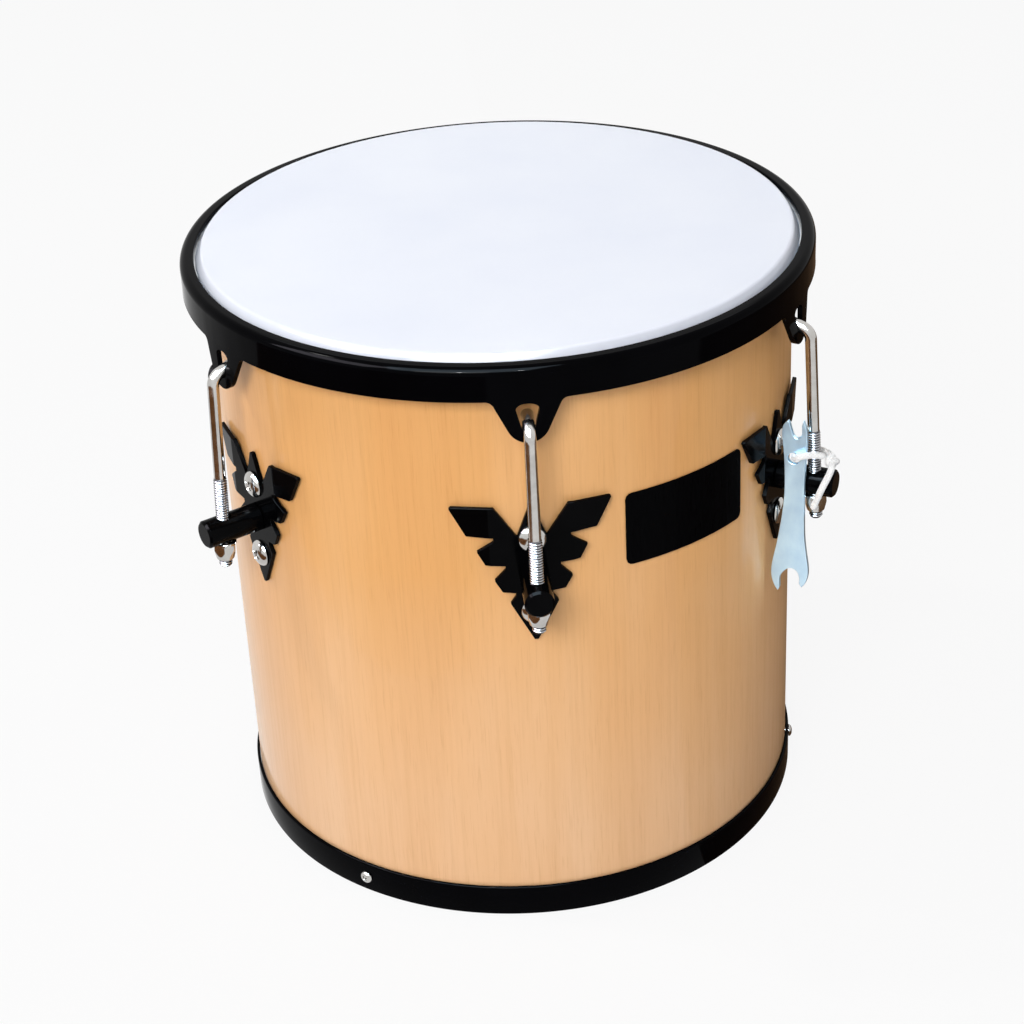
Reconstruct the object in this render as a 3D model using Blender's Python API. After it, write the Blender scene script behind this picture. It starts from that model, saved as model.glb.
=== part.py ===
"""Hand repique: a wooden hand drum with one head, six tension lugs and a spanner tied to one of them.

The drum stands on its open end with the origin at the middle of that end. +Z is up and -Y is the
front, where lug 0 is. Lug k is lug 0 turned by k times the lug spacing about +Z.
"""

import math

import bmesh
import bpy
from mathutils import Matrix, Vector

MM = 0.001
INCH = 25.4 * MM

# Clearances
GAP = 0.3 * MM
ROD_FIT = 0.6 * MM

# Wooden shell
SHELL_D = 11 * INCH
SHELL_H = 300 * MM
SHELL_WALL = 7 * MM
EDGE_ROUND = 1.2 * MM
EDGE_FLAT = 1 * MM

# Steel band round the open end
BAND_H = 16.2 * MM
BAND_T = 1.5 * MM
BAND_EDGE = 0.6 * MM
BAND_SCREWS = 3
BAND_SCREW_TURN = math.radians(-38)
BAND_SCREW_HEAD_R = 3.2 * MM
BAND_SCREW_HEAD_H = 2 * MM
BAND_SCREW_R = 1.5 * MM
WOOD_BEHIND_SCREW = 1.6 * MM

# Plastic head
FILM_T = 0.6 * MM
FILM_HEM = 1.7 * MM
COLLAR_OUT = 3 * MM
COLLAR_SLOPE = math.radians(60)

# Ring that the film is held in
FLESH_W = 4.6 * MM
FLESH_H = 8 * MM
FLESH_EDGE = 0.8 * MM

# Counterhoop
HOOP_DROP = 1.5 * MM
HOOP_T = 2.4 * MM
HOOP_ROUND = 3.5 * MM
HOOP_SKIRT = 15.7 * MM
LIP_FIT = 0.8 * MM
LIP_ROUND = 0.7 * MM

# Ears of the counterhoop
EAR_DROP = 34.9 * MM
EAR_KICK = 1.8 * MM
EAR_TIP_R = 9.6 * MM
EAR_FLARE = math.radians(26.5)
EAR_FILLET = 4 * MM
EAR_SLOT_FLOOR = 4.9 * MM
EAR_SLOT_RISE = 9.7 * MM
EAR_SLOT_ROUND = 2.7 * MM
EAR_SLOT_HALF = 5.1 * MM

# Tension hooks
LUGS = 6
LUG_DROP = 106.7 * MM
THREAD_D = 0.25 * INCH
THREAD_STEP = 0.425 * MM
THREAD_ABOVE_POST = 26.7 * MM
ROD_PAST_NUT = 4.2 * MM
ROD_CHAMFER = 0.9 * MM
ROD_STAND_OFF = 6.14 * MM
ROD_LEAN = math.radians(2.7)
HOOK_BEND_R = 6.2 * MM
HOOK_RISE = math.radians(21)
HOOK_REACH = 3.4 * MM

# Lug plates
PLATE_T = 2 * MM
PLATE_DROP = 35.7 * MM
PLATE_BEND_X = 19 * MM
PLATE_TIP_GAP = 1.2 * MM
UPPER_SCREW_SPACE = 4 * MM
LOWER_SCREW_SPACE = 6.6 * MM

# Lug posts
POST_R = 6.7 * MM
POST_PAST_ROD = 10.2 * MM
POST_CHAMFER = 1 * MM
SPIGOT_R = 4 * MM
SPOT_DEPTH = 0.8 * MM

# Tuning nuts
NUT_WALL = 1.6 * MM
NUT_FLANGE_LIP = 0.1 * MM
NUT_FLANGE_H = 1.4 * MM
NUT_H = 8.8 * MM
NUT_TAPER_H = 4.8 * MM
NUT_TIP_WALL = 0.4 * MM

# Screws that hold the lug plates and their nuts inside the shell
SCREW_HEAD_R = 6.5 * MM
SCREW_HEAD_H = 3.4 * MM
SCREW_R = 2.5 * MM
SCREW_CHAMFER = 0.6 * MM
SCREW_PAST_NUT = 1.5 * MM
INNER_FLANGE_R = 6 * MM
INNER_FLANGE_H = 1.5 * MM
INNER_FLATS = 8 * MM
INNER_NUT_H = 5.5 * MM

# Blank name plate
BADGE_SHIFT = math.radians(1.5)
BADGE_UP = 12.7 * MM
BADGE_W = 68 * MM
BADGE_H = 36.3 * MM
BADGE_T = 0.6 * MM
BADGE_CORNER = 3 * MM

# Spanner, tied to one lug's rod
SPANNER_LUG = 1
SPANNER_T = 2.2 * MM
SPANNER_GAP = 0.6 * MM
SPANNER_HOLE_IN = 7.5 * MM
SPANNER_HOLE_UP = 14.9 * MM
JAW_FIT = 0.1 * MM

# Cord of the spanner
CORD_R = 1.6 * MM
CORD_SLACK = 1.4 * MM
KNOT_R = 1.6 * MM
KNOT_POINT = 13

# Faceting
ROUND_STEPS = 64
ROD_SIDES = 10

shell_r = SHELL_D / 2
shell_in_r = shell_r - SHELL_WALL
film_r = shell_r + COLLAR_OUT
flesh_in_r = film_r + GAP
flesh_out_r = flesh_in_r + FLESH_W
skirt_in_r = flesh_out_r + GAP
hoop_out_r = skirt_in_r + HOOP_T
lip_r = film_r + LIP_FIT
hoop_top = SHELL_H - HOOP_DROP
flesh_top = hoop_top - HOOP_T - GAP
flesh_bottom = flesh_top - FLESH_H
skirt_bottom = hoop_top - HOOP_SKIRT
ear_bottom = hoop_top - EAR_DROP
ear_bend_z = skirt_bottom + HOOP_T / 2
thread_r = THREAD_D / 2
rod_r = thread_r - THREAD_STEP
bore_r = thread_r + ROD_FIT
hook_z = ear_bottom + EAR_SLOT_FLOOR + GAP + rod_r / math.cos(HOOK_RISE)
slot_out = hoop_out_r + EAR_KICK * (ear_bend_z - hook_z) / (ear_bend_z - ear_bottom)
lug_turn = 2 * math.pi / LUGS
post_z = SHELL_H - LUG_DROP
rod_out = hoop_out_r + ROD_STAND_OFF + (hook_z - post_z) * math.tan(ROD_LEAN)
rod_lean = Vector((0, math.sin(ROD_LEAN), math.cos(ROD_LEAN)))
plate_back = shell_r + GAP
plate_front = plate_back + PLATE_T
post_out = rod_out + POST_PAST_ROD
spot_below = POST_R - SPOT_DEPTH
nut_flats = THREAD_D + 2 * NUT_WALL
nut_flange_r = nut_flats / 2 / math.cos(math.pi / 6) + NUT_FLANGE_LIP
upper_screw_z = post_z + POST_R + UPPER_SCREW_SPACE + SCREW_HEAD_R
lower_screw_z = post_z - POST_R - LOWER_SCREW_SPACE - SCREW_HEAD_R
band_screw_z = BAND_H / 2
band_head_seat = shell_r + BAND_T + 2 * GAP
band_screw_tip = shell_in_r + WOOD_BEHIND_SCREW


def material(name, colour, roughness, metallic=0.0):
    made = bpy.data.materials.new(name)
    made.use_nodes = True
    shader = made.node_tree.nodes["Principled BSDF"]
    shader.inputs["Base Color"].default_value = (*colour, 1)
    shader.inputs["Roughness"].default_value = roughness
    shader.inputs["Metallic"].default_value = metallic
    made.diffuse_color = (*colour, 1)
    return made


def place(name, mesh, finish, parent=None, location=(0, 0, 0), rotation=(0, 0, 0)):
    """Adds an object that shows the mesh."""
    if finish and not mesh.materials:
        mesh.materials.append(finish)
    made = bpy.data.objects.new(name, mesh)
    bpy.context.scene.collection.objects.link(made)
    made.location = location
    made.rotation_euler = rotation
    made.parent = parent
    return made


def frame(name, location=(0, 0, 0), rotation=(0, 0, 0), parent=None):
    made = bpy.data.objects.new(name, None)
    bpy.context.scene.collection.objects.link(made)
    made.location = location
    made.rotation_euler = rotation
    made.parent = parent
    return made


def mesh_of(name, build):
    """The closed mesh that build(bm) makes, facing out, with its hard edges sharp."""
    bm = bmesh.new()
    build(bm)
    bmesh.ops.recalc_face_normals(bm, faces=bm.faces)
    mesh = bpy.data.meshes.new(name)
    bm.to_mesh(mesh)
    bm.free()
    mesh.shade_smooth()
    mesh.set_sharp_from_angle(angle=math.radians(32))
    return mesh


def loft(bm, rings, loop=False):
    """Joins rings of equally many points. A loop joins the last to the first, and otherwise both ends are capped."""
    made = [[bm.verts.new(p) for p in ring] for ring in rings]
    count = len(made[0])
    pairs = list(zip(made, made[1:]))
    if loop:
        pairs.append((made[-1], made[0]))
    for low, high in pairs:
        for i in range(count):
            j = (i + 1) % count
            bm.faces.new((low[i], low[j], high[j], high[i]))
    if not loop:
        bm.faces.new(made[0])
        bm.faces.new(made[-1])


def circle(radius, sides, height=0.0):
    """A ring of points about Z."""
    turns = [2 * math.pi * i / sides for i in range(sides)]
    return [Vector((radius * math.cos(a), radius * math.sin(a), height)) for a in turns]


def hexagon(flats, sides, height=0.0):
    """A ring of points on a hexagon about Z, with as many points as a circle that it is lofted to."""
    points = []
    for i in range(sides):
        a = 2 * math.pi * i / sides
        off = (a + math.pi / 6) % (math.pi / 3) - math.pi / 6
        radius = flats / 2 / math.cos(off)
        points.append(Vector((radius * math.cos(a), radius * math.sin(a), height)))
    return points


def turned(name, profile, finish, steps=ROUND_STEPS):
    """Spins a profile of (radius, height) about Z with a Screw. It runs down the outer side."""
    mesh = bpy.data.meshes.new(name)
    count = len(profile)
    closed = profile[0][0] > 0
    edges = [(i, (i + 1) % count) for i in range(count if closed else count - 1)]
    mesh.from_pydata([(r, 0, z) for r, z in profile], edges, [])
    made = place(name, mesh, finish)
    screw = made.modifiers.new("spin", "SCREW")
    screw.axis = "Z"
    screw.angle = 2 * math.pi
    screw.steps = steps
    screw.render_steps = steps
    screw.use_merge_vertices = True
    screw.merge_threshold = 0.00001
    screw.use_smooth_shade = True
    return made


def cut(target, tool):
    """Cuts the tool out of the target and leaves the tool as a hidden helper."""
    tool.hide_render = True
    tool.display_type = "WIRE"
    boolean = target.modifiers.new("cut_" + tool.name, "BOOLEAN")
    boolean.operation = "DIFFERENCE"
    boolean.object = tool


def finished(made, tools):
    """The mesh of an object with its modifiers applied. The object and its tools are removed."""
    graph = bpy.context.evaluated_depsgraph_get()
    graph.update()
    mesh = bpy.data.meshes.new_from_object(made.evaluated_get(graph))
    mesh.name = made.name
    mesh.set_sharp_from_angle(angle=math.radians(32))
    for helper in (made, *tools):
        bpy.data.objects.remove(helper)
    return mesh


def drill(name, holes):
    """One cutter of straight holes, each given as start, end, radius and number of sides."""

    def build(bm):
        for start, end, radius, sides in holes:
            turn = (end - start).to_track_quat("Z", "Y").to_matrix()
            rings = [[turn @ p + at for p in circle(radius, sides)] for at in (start, end)]
            loft(bm, rings)

    return place(name, mesh_of(name, build), None)


def outward(turn):
    """The unit vector that points out of the shell at this turn from the front."""
    return Vector((math.sin(turn), -math.cos(turn), 0))


def band_screw_turns():
    return [BAND_SCREW_TURN + 2 * math.pi * i / BAND_SCREWS for i in range(BAND_SCREWS)]


def make_shell(finish):
    """An open tube whose top is the bearing edge: rounded outside and bevelled at 45 degrees inside."""
    flat_r = shell_r - EDGE_ROUND
    profile = [(flat_r - EDGE_FLAT, SHELL_H), (flat_r, SHELL_H)]
    for degrees in (45, 0):
        a = math.radians(degrees)
        up = SHELL_H - EDGE_ROUND + EDGE_ROUND * math.sin(a)
        profile.append((flat_r + EDGE_ROUND * math.cos(a), up))
    bevel = SHELL_WALL - EDGE_ROUND - EDGE_FLAT
    profile += [(shell_r, 0), (shell_in_r, 0), (shell_in_r, SHELL_H - bevel)]
    made = turned("shell", profile, finish)
    holes = []
    for k in range(LUGS):
        out = outward(k * lug_turn)
        for z in (upper_screw_z, lower_screw_z):
            up = Vector((0, 0, z))
            start = up + out * (shell_in_r - SHELL_WALL)
            holes.append((start, up + out * (shell_r + SHELL_WALL), SCREW_R + GAP, 8))
    for turn in band_screw_turns():
        up = Vector((0, 0, band_screw_z))
        start = up + outward(turn) * band_screw_tip
        holes.append((start, up + outward(turn) * (shell_r + SHELL_WALL), BAND_SCREW_R + GAP, 6))
    cut(made, drill("shell_holes", holes))
    return made


def make_band(finish):
    inner = shell_r + GAP
    outer = inner + BAND_T
    profile = [
        (inner, BAND_H),
        (outer - BAND_EDGE, BAND_H),
        (outer, BAND_H - BAND_EDGE),
        (outer, 0),
        (inner, 0),
    ]
    made = turned("bottom_band", profile, finish)
    holes = []
    for turn in band_screw_turns():
        up = Vector((0, 0, band_screw_z))
        start = up + outward(turn) * (inner - SHELL_WALL)
        holes.append((start, up + outward(turn) * (outer + SHELL_WALL), BAND_SCREW_R + GAP, 6))
    cut(made, drill("band_holes", holes))


def film_face(off, hem_r):
    """One face of the film, this far off the bearing edge, from the middle out and down to its hem.

    It wraps the edge's outer round, leaves it at the collar's slope and ends straight inside the flesh hoop.
    """
    points = [(0, SHELL_H + off)]
    reach = EDGE_ROUND + off
    for share in (0, 0.5, 1):
        a = math.pi / 2 - COLLAR_SLOPE * share
        out = shell_r - EDGE_ROUND + reach * math.cos(a)
        points.append((out, SHELL_H - EDGE_ROUND + reach * math.sin(a)))
    out, up = points[-1]
    points.append((hem_r, up - (hem_r - out) * math.tan(COLLAR_SLOPE)))
    points.append((hem_r, flesh_bottom - FILM_HEM))
    return points


def make_head(finish):
    upper = film_face(GAP + FILM_T, film_r)
    lower = film_face(GAP, film_r - FILM_T)
    turned("head_film", [*upper, *reversed(lower)], finish)


def make_flesh_hoop(finish):
    profile = [
        (flesh_in_r, flesh_top),
        (flesh_out_r - FLESH_EDGE, flesh_top),
        (flesh_out_r, flesh_top - FLESH_EDGE),
        (flesh_out_r, flesh_bottom),
        (flesh_in_r, flesh_bottom),
    ]
    turned("flesh_hoop", profile, finish)


def hoop_edge():
    """Half an ear's lower edge as (distance round the hoop, height), from its tip to the straight skirt."""
    tip_z = ear_bottom + EAR_TIP_R
    points = []
    for degrees in (0, 24, 46):
        a = math.radians(degrees)
        points.append((EAR_TIP_R * math.sin(a), tip_z - EAR_TIP_R * math.cos(a)))
    side = Vector((math.sin(EAR_FLARE), math.cos(EAR_FLARE)))
    off = Vector((math.cos(EAR_FLARE), -math.sin(EAR_FLARE)))
    start = Vector((0, tip_z)) + off * EAR_TIP_R
    points.append(tuple(start))
    centre_z = skirt_bottom - EAR_FILLET
    run = (centre_z - start.y - off.y * EAR_FILLET) / side.y
    centre = start + side * run + off * EAR_FILLET
    first = math.atan2(-off.y, -off.x)
    for share in (0, 0.5, 1):
        a = first + (math.pi / 2 - first) * share
        points.append((centre.x + EAR_FILLET * math.cos(a), centre.y + EAR_FILLET * math.sin(a)))
    return points


def make_counterhoop(finish):
    """A pressed ring with a lip over the flesh hoop and a skirt that drops into an ear at each lug.

    The ears are bent a little outwards.
    """
    half = [(s / hoop_out_r, z) for s, z in hoop_edge()]
    last = half[-1][0]
    steps = 4
    step = (lug_turn / 2 - last) / steps
    half += [(last + step * (i + 1), skirt_bottom) for i in range(steps)]
    segment = [(-a, z) for a, z in reversed(half[1:])][1:] + half
    columns = [(a + k * lug_turn, z) for k in range(LUGS) for a, z in segment]
    upper = [
        (skirt_in_r, hoop_top - HOOP_T),
        (lip_r, hoop_top - HOOP_T),
        (lip_r, hoop_top - LIP_ROUND),
        (lip_r + LIP_ROUND, hoop_top),
    ]
    for degrees in (90, 45, 0):
        a = math.radians(degrees)
        out = hoop_out_r - HOOP_ROUND + HOOP_ROUND * math.cos(a)
        upper.append((out, hoop_top - HOOP_ROUND + HOOP_ROUND * math.sin(a)))

    def build(bm):
        rings = []
        for turn, low in columns:
            kick = EAR_KICK * (ear_bend_z - low) / (ear_bend_z - ear_bottom)
            section = [
                *upper,
                (hoop_out_r, ear_bend_z),
                (hoop_out_r + kick, low),
                (skirt_in_r + kick, low),
                (skirt_in_r, ear_bend_z),
            ]
            rings.append([outward(turn) * r + Vector((0, 0, z)) for r, z in section])
        loft(bm, rings, loop=True)

    made = place("counterhoop", mesh_of("counterhoop", build), finish)
    cut(made, ear_slots())


def ear_slots():
    """The cutter of the keystone slots that the hooks pass through."""
    low_r = rod_r + 2 * GAP
    low_z = ear_bottom + EAR_SLOT_FLOOR + low_r
    shoulder = hook_z + EAR_SLOT_RISE - EAR_SLOT_ROUND
    outline = []
    for degrees in (180, 225, 270, 315, 360):
        a = math.radians(degrees)
        outline.append((low_r * math.cos(a), low_z + low_r * math.sin(a)))
    for degrees in (0, 45, 90, 135, 180):
        a = math.radians(degrees)
        outline.append((EAR_SLOT_HALF * math.cos(a), shoulder + EAR_SLOT_ROUND * math.sin(a)))

    def build(bm):
        for k in range(LUGS):
            turn = Matrix.Rotation(k * lug_turn, 3, "Z")
            rings = []
            for out in (skirt_in_r - HOOP_T, hoop_out_r + HOOP_T):
                rings.append([turn @ Vector((x, -out, z)) for x, z in outline])
            loft(bm, rings)

    return place("ear_slots", mesh_of("ear_slots", build), None)


def hook_mesh():
    """A rod that leans out of the hoop to the post, threaded below, and bent in and up through the ear above.

    The origin is where the rod's axis crosses the post's.
    """
    lean = rod_lean
    side = Vector((1, 0, 0))
    inward = Vector((0, 1, 0))
    end = -(spot_below + GAP + NUT_H + ROD_PAST_NUT)
    leg = Vector((0, math.cos(HOOK_RISE), math.sin(HOOK_RISE)))
    bend = math.pi / 2 - ROD_LEAN - HOOK_RISE
    rise = math.tan(HOOK_RISE)
    corner = lean * ((hook_z - post_z - (rod_out - slot_out) * rise) / (lean.z - lean.y * rise))
    start = corner - lean * HOOK_BEND_R * math.tan(bend / 2)
    across = inward * math.cos(ROD_LEAN) - Vector((0, 0, 1)) * math.sin(ROD_LEAN)
    centre = start + across * HOOK_BEND_R
    stations = [
        (lean * end, lean, thread_r - ROD_CHAMFER),
        (lean * (end + ROD_CHAMFER), lean, thread_r),
        (lean * THREAD_ABOVE_POST, lean, thread_r),
        (lean * (THREAD_ABOVE_POST + THREAD_STEP), lean, rod_r),
    ]
    for share in (0, 0.25, 0.5, 0.75, 1):
        a = bend * share
        at = centre - across * HOOK_BEND_R * math.cos(a) + lean * HOOK_BEND_R * math.sin(a)
        heading = across * math.sin(a) + lean * math.cos(a)
        stations.append((at, heading, rod_r))
    tip_y = rod_out - (skirt_in_r - HOOK_REACH)
    tip = corner + leg * ((tip_y - corner.y) / leg.y)
    stations.append((tip - leg * ROD_CHAMFER, leg, rod_r))
    stations.append((tip, leg, rod_r - ROD_CHAMFER))

    def build(bm):
        rings = []
        for at, heading, radius in stations:
            up = side.cross(heading)
            rings.append([at + side * p.x + up * p.y for p in circle(radius, ROD_SIDES)])
        loft(bm, rings)

    return mesh_of("tension_hook", build)


def nut_mesh():
    """A flanged hexagon nut that hangs down from its seat at the origin and tapers towards its end."""
    sides = 12
    low = -NUT_H

    def build(bm):
        rings = [
            circle(bore_r, sides),
            circle(nut_flange_r, sides),
            circle(nut_flange_r, sides, -NUT_FLANGE_H),
            hexagon(nut_flats, sides, -NUT_FLANGE_H - GAP),
            hexagon(nut_flats, sides, low + NUT_TAPER_H),
            circle(bore_r + NUT_TIP_WALL, sides, low),
            circle(bore_r, sides, low),
        ]
        loft(bm, rings, loop=True)

    return mesh_of("tuning_nut", build)


def post_mesh():
    """A round bar that stands out from the plate, with a spigot through it and a leaning hole for the rod.

    The origin is where the rod's axis crosses the post's.
    """
    sides = 16
    reach = post_out - rod_out
    root = plate_front + GAP - rod_out
    tail = plate_back - rod_out

    def build(bm):
        rings = []
        ends = [(tail, SPIGOT_R), (root, SPIGOT_R), (root, POST_R), (reach - POST_CHAMFER, POST_R)]
        for out, radius in [*ends, (reach, POST_R - POST_CHAMFER)]:
            rings.append([Vector((p.x, -out, p.y)) for p in circle(radius, sides)])
        loft(bm, rings)

    made = place("lug_post_blank", mesh_of("lug_post", build), None)
    below = rod_lean * -3 * POST_R
    spot = drill("post_spot", [(below, rod_lean * -spot_below, nut_flange_r + GAP, 12)])
    hole = drill("post_hole", [(below, rod_lean * 2 * POST_R, bore_r, 12)])
    cut(made, spot)
    cut(made, hole)
    mesh = finished(made, [spot, hole])
    mesh.name = "lug_post"
    return mesh


def plate_outline():
    """Half of the plate's front view, in millimetres from the middle of its apex, top to bottom."""
    return [
        (0.9, 69.3), (6.6, 54.2), (16.5, 69.4), (35.2, 69.6), (35.9, 68.8), (29.0, 55.3), (17.2, 54.4),
        (17.3, 52.6), (24.7, 47.4), (21.2, 40.7), (12.3, 39.7), (12.3, 38.0), (17.5, 32.6),
        (14.1, 26.3), (8.4, 25.4), (8.4, 23.7), (10.9, 20.0), (0.9, 0.3),
    ]


def plate_mesh():
    """Flat sheet cut to a winged outline and drilled, with the tips of its wings bent back to the shell."""
    half = [(x * MM, z * MM + post_z - PLATE_DROP) for x, z in plate_outline()]
    loops = [half + [(-x, z) for x, z in reversed(half)]]
    for z, radius in ((upper_screw_z, SCREW_R), (lower_screw_z, SCREW_R), (post_z, SPIGOT_R)):
        loops.append([(p.x, p.y + z) for p in circle(radius + GAP, 10)])
    data = bpy.data.curves.new("lug_plate_sheet", "CURVE")
    data.dimensions = "2D"
    data.fill_mode = "BOTH"
    data.extrude = PLATE_T / 2
    for points in loops:
        spline = data.splines.new("POLY")
        spline.use_cyclic_u = True
        spline.points.add(len(points) - 1)
        for point, (x, z) in zip(spline.points, points):
            point.co = (x, z, 0, 1)
    sheet = place("lug_plate_sheet", data, None)
    flat = finished(sheet, [])
    bpy.data.curves.remove(data)
    tip = max(x for x, z in half)
    tip_back = math.sqrt((shell_r + PLATE_TIP_GAP) ** 2 - tip**2)
    fall = (plate_back - tip_back) / (tip - PLATE_BEND_X)
    middle = -(plate_back + plate_front) / 2

    def build(bm):
        bm.from_mesh(flat)
        bmesh.ops.remove_doubles(bm, verts=bm.verts[:], dist=0.01 * MM)
        bmesh.ops.triangulate(bm, faces=bm.faces[:])
        for x in (-PLATE_BEND_X, PLATE_BEND_X):
            parts = bm.verts[:] + bm.edges[:] + bm.faces[:]
            bmesh.ops.bisect_plane(bm, geom=parts, plane_co=(x, 0, 0), plane_no=(1, 0, 0), dist=1e-7)
        for v in bm.verts:
            off = max(0, abs(v.co.x) - PLATE_BEND_X) * fall
            v.co = Vector((v.co.x, middle - v.co.z + off, v.co.y))

    mesh = mesh_of("lug_plate", build)
    bpy.data.meshes.remove(flat)
    return mesh


def screw_mesh(name, head_r, head_h, shank_r, length, sides):
    """A screw along Z with a domed head above the origin and its shank below."""

    def build(bm):
        rings = [
            circle(shank_r - SCREW_CHAMFER, sides, -length),
            circle(shank_r, sides, SCREW_CHAMFER - length),
            circle(shank_r, sides),
        ]
        for degrees in (0, 20, 45, 65):
            a = math.radians(degrees)
            rings.append(circle(head_r * math.cos(a), sides, head_h * math.sin(a)))
        loft(bm, rings)

    return mesh_of(name, build)


def inner_nut_seat():
    """How far from the drum's axis a round flange lies that touches the curved inner wall at its rim."""
    return math.sqrt(shell_in_r**2 - INNER_FLANGE_R**2) - GAP


def inner_nut_mesh():
    """A flanged nut along -Z, with its seat at the origin."""
    sides = 12
    hole_r = SCREW_R + GAP

    def build(bm):
        rings = [
            circle(hole_r, sides),
            circle(INNER_FLANGE_R, sides),
            circle(INNER_FLANGE_R, sides, -INNER_FLANGE_H),
            hexagon(INNER_FLATS, sides, -INNER_FLANGE_H - GAP),
            hexagon(INNER_FLATS, sides, -INNER_NUT_H),
            circle(hole_r, sides, -INNER_NUT_H),
        ]
        loft(bm, rings, loop=True)

    return mesh_of("inner_nut", build)


def make_lugs(black, bright, zinc):
    plate = plate_mesh()
    post = post_mesh()
    hook = hook_mesh()
    nut = nut_mesh()
    screw_l = plate_front + GAP - inner_nut_seat() + INNER_NUT_H + SCREW_PAST_NUT
    screw = screw_mesh("plate_screw", SCREW_HEAD_R, SCREW_HEAD_H, SCREW_R, screw_l, 10)
    inner_nut = inner_nut_mesh()
    crossing = Vector((0, -rod_out, post_z))
    seat = crossing - rod_lean * (spot_below + GAP)
    facing_out = (math.pi / 2, 0, 0)
    for k in range(LUGS):
        lug = frame(f"lug_{k}", rotation=(0, 0, k * lug_turn))
        place(f"lug_plate_{k}", plate, black, lug)
        place(f"lug_post_{k}", post, black, lug, crossing)
        place(f"tension_hook_{k}", hook, bright, lug, crossing)
        place(f"tuning_nut_{k}", nut, bright, lug, seat, (-ROD_LEAN, 0, 0))
        for side, z in (("upper", upper_screw_z), ("lower", lower_screw_z)):
            at = (0, -plate_front - GAP, z)
            place(f"{side}_screw_{k}", screw, bright, lug, at, facing_out)
            at = (0, -inner_nut_seat(), z)
            place(f"{side}_inner_nut_{k}", inner_nut, zinc, lug, at, facing_out)


def make_band_screws(finish):
    length = band_head_seat - band_screw_tip - GAP
    mesh = screw_mesh("band_screw", BAND_SCREW_HEAD_R, BAND_SCREW_HEAD_H, BAND_SCREW_R, length, 10)
    for i, turn in enumerate(band_screw_turns()):
        pivot = frame(f"band_screw_place_{i}", rotation=(0, 0, turn))
        at = (0, -band_head_seat, band_screw_z)
        place(f"band_screw_{i}", mesh, finish, pivot, at, (math.pi / 2, 0, 0))


def make_badge(finish):
    """A blank plate with rounded corners, bent to the shell."""
    inner = shell_r + GAP
    outer = inner + BADGE_T
    half_w = BADGE_W / 2
    straight = half_w - BADGE_CORNER
    columns = []
    for degrees in (0, 35, 65, 90):
        a = math.radians(degrees)
        off = BADGE_CORNER * (1 - math.sin(a))
        columns.append((-half_w + BADGE_CORNER * (1 - math.cos(a)), BADGE_H / 2 - off))
    columns += [(-straight + 2 * straight * i / 8, BADGE_H / 2) for i in range(1, 8)]
    columns += [(-x, h) for x, h in reversed(columns[:4])]

    def build(bm):
        rings = []
        for x, h in columns:
            out = outward(x / outer)
            corners = ((inner, h), (outer, h), (outer, -h), (inner, -h))
            rings.append([out * r + Vector((0, 0, z)) for r, z in corners])
        loft(bm, rings)

    at = (0, 0, post_z + BADGE_UP)
    turn = (0, 0, lug_turn / 2 + BADGE_SHIFT)
    place("badge", mesh_of("badge", build), finish, None, at, turn)


def smooth(points, steps):
    """A Catmull-Rom curve through the points."""
    ends = [points[0] * 2 - points[1], *points, points[-1] * 2 - points[-2]]
    curve = []
    for i in range(1, len(ends) - 2):
        a, b, c, d = ends[i - 1 : i + 3]
        for j in range(steps):
            t = j / steps
            bend = (2 * a - 5 * b + 4 * c - d) * t * t + (3 * b - a - 3 * c + d) * t**3
            curve.append((2 * b + (c - a) * t + bend) / 2)
    return [*curve, points[-1]]


def spanner_outline():
    """The spanner's outline as (out from the drum, up), in millimetres from its cord hole.

    Its lower jaw takes the tuning nut's flats.
    """
    jaw = (nut_flats / 2 + JAW_FIT) / MM
    jaw_x = -1.2
    inner_side = [
        (-3.1, 19.3), (-5.4, 16.4), (-5.8, 11.5), (-5.0, 3), (-4.3, -10), (-4.5, -22), (-5.9, -35),
        (-7.8, -47), (-10.0, -58.5), (-10.3, -65), (-9.0, -70), (-6.9, -73.4),
    ]
    lower_jaw = [
        (jaw_x - jaw, -71.4), (jaw_x - jaw, -66.2), (jaw_x - 3 * jaw / 4, -63.2), (jaw_x - jaw / 4, -60.4),
        (jaw_x + jaw / 4, -59.6), (jaw_x + 3 * jaw / 4, -60.9), (jaw_x + jaw, -63.8), (jaw_x + jaw, -67.4),
    ]
    outer_side = [
        (4.9, -69.4), (6.7, -66.8), (7.9, -62.5), (7.9, -57.5), (6.7, -49), (5.8, -40), (5.5, -27),
        (5.4, -13), (5.8, 0), (6.3, 8), (6.1, 15), (4.4, 20.4),
    ]
    upper_jaw = [(3.7, 17.4), (3.8, 13.6), (2.9, 11.4), (1.2, 10.7), (-0.3, 11.8), (-1.4, 14.8), (-2.2, 17.8)]
    points = []
    for group in (inner_side, lower_jaw, outer_side, upper_jaw):
        points += smooth([Vector(p) for p in group], 2)
    return [p * MM for p in points]


def make_spanner(finish):
    """A flat open-ended spanner with its origin at its cord hole, on the hinge's axis."""
    near = POST_R + SPANNER_GAP
    outline = spanner_outline()

    def build(bm):
        rings = [[Vector((x, -p.x, p.y)) for p in outline] for x in (-SPANNER_T / 2, SPANNER_T / 2)]
        loft(bm, rings)

    lug = bpy.data.objects[f"lug_{SPANNER_LUG}"]
    at = (-near - SPANNER_T / 2, SPANNER_HOLE_IN - rod_out, post_z + SPANNER_HOLE_UP)
    made = place("spanner", mesh_of("spanner", build), finish, lug, at)
    sideways = Vector((SPANNER_T, 0, 0))
    tool = drill("spanner_hole", [(-sideways, sideways, CORD_R + CORD_SLACK, 16)])
    tool.parent = lug
    tool.location = at
    cut(made, tool)


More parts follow.
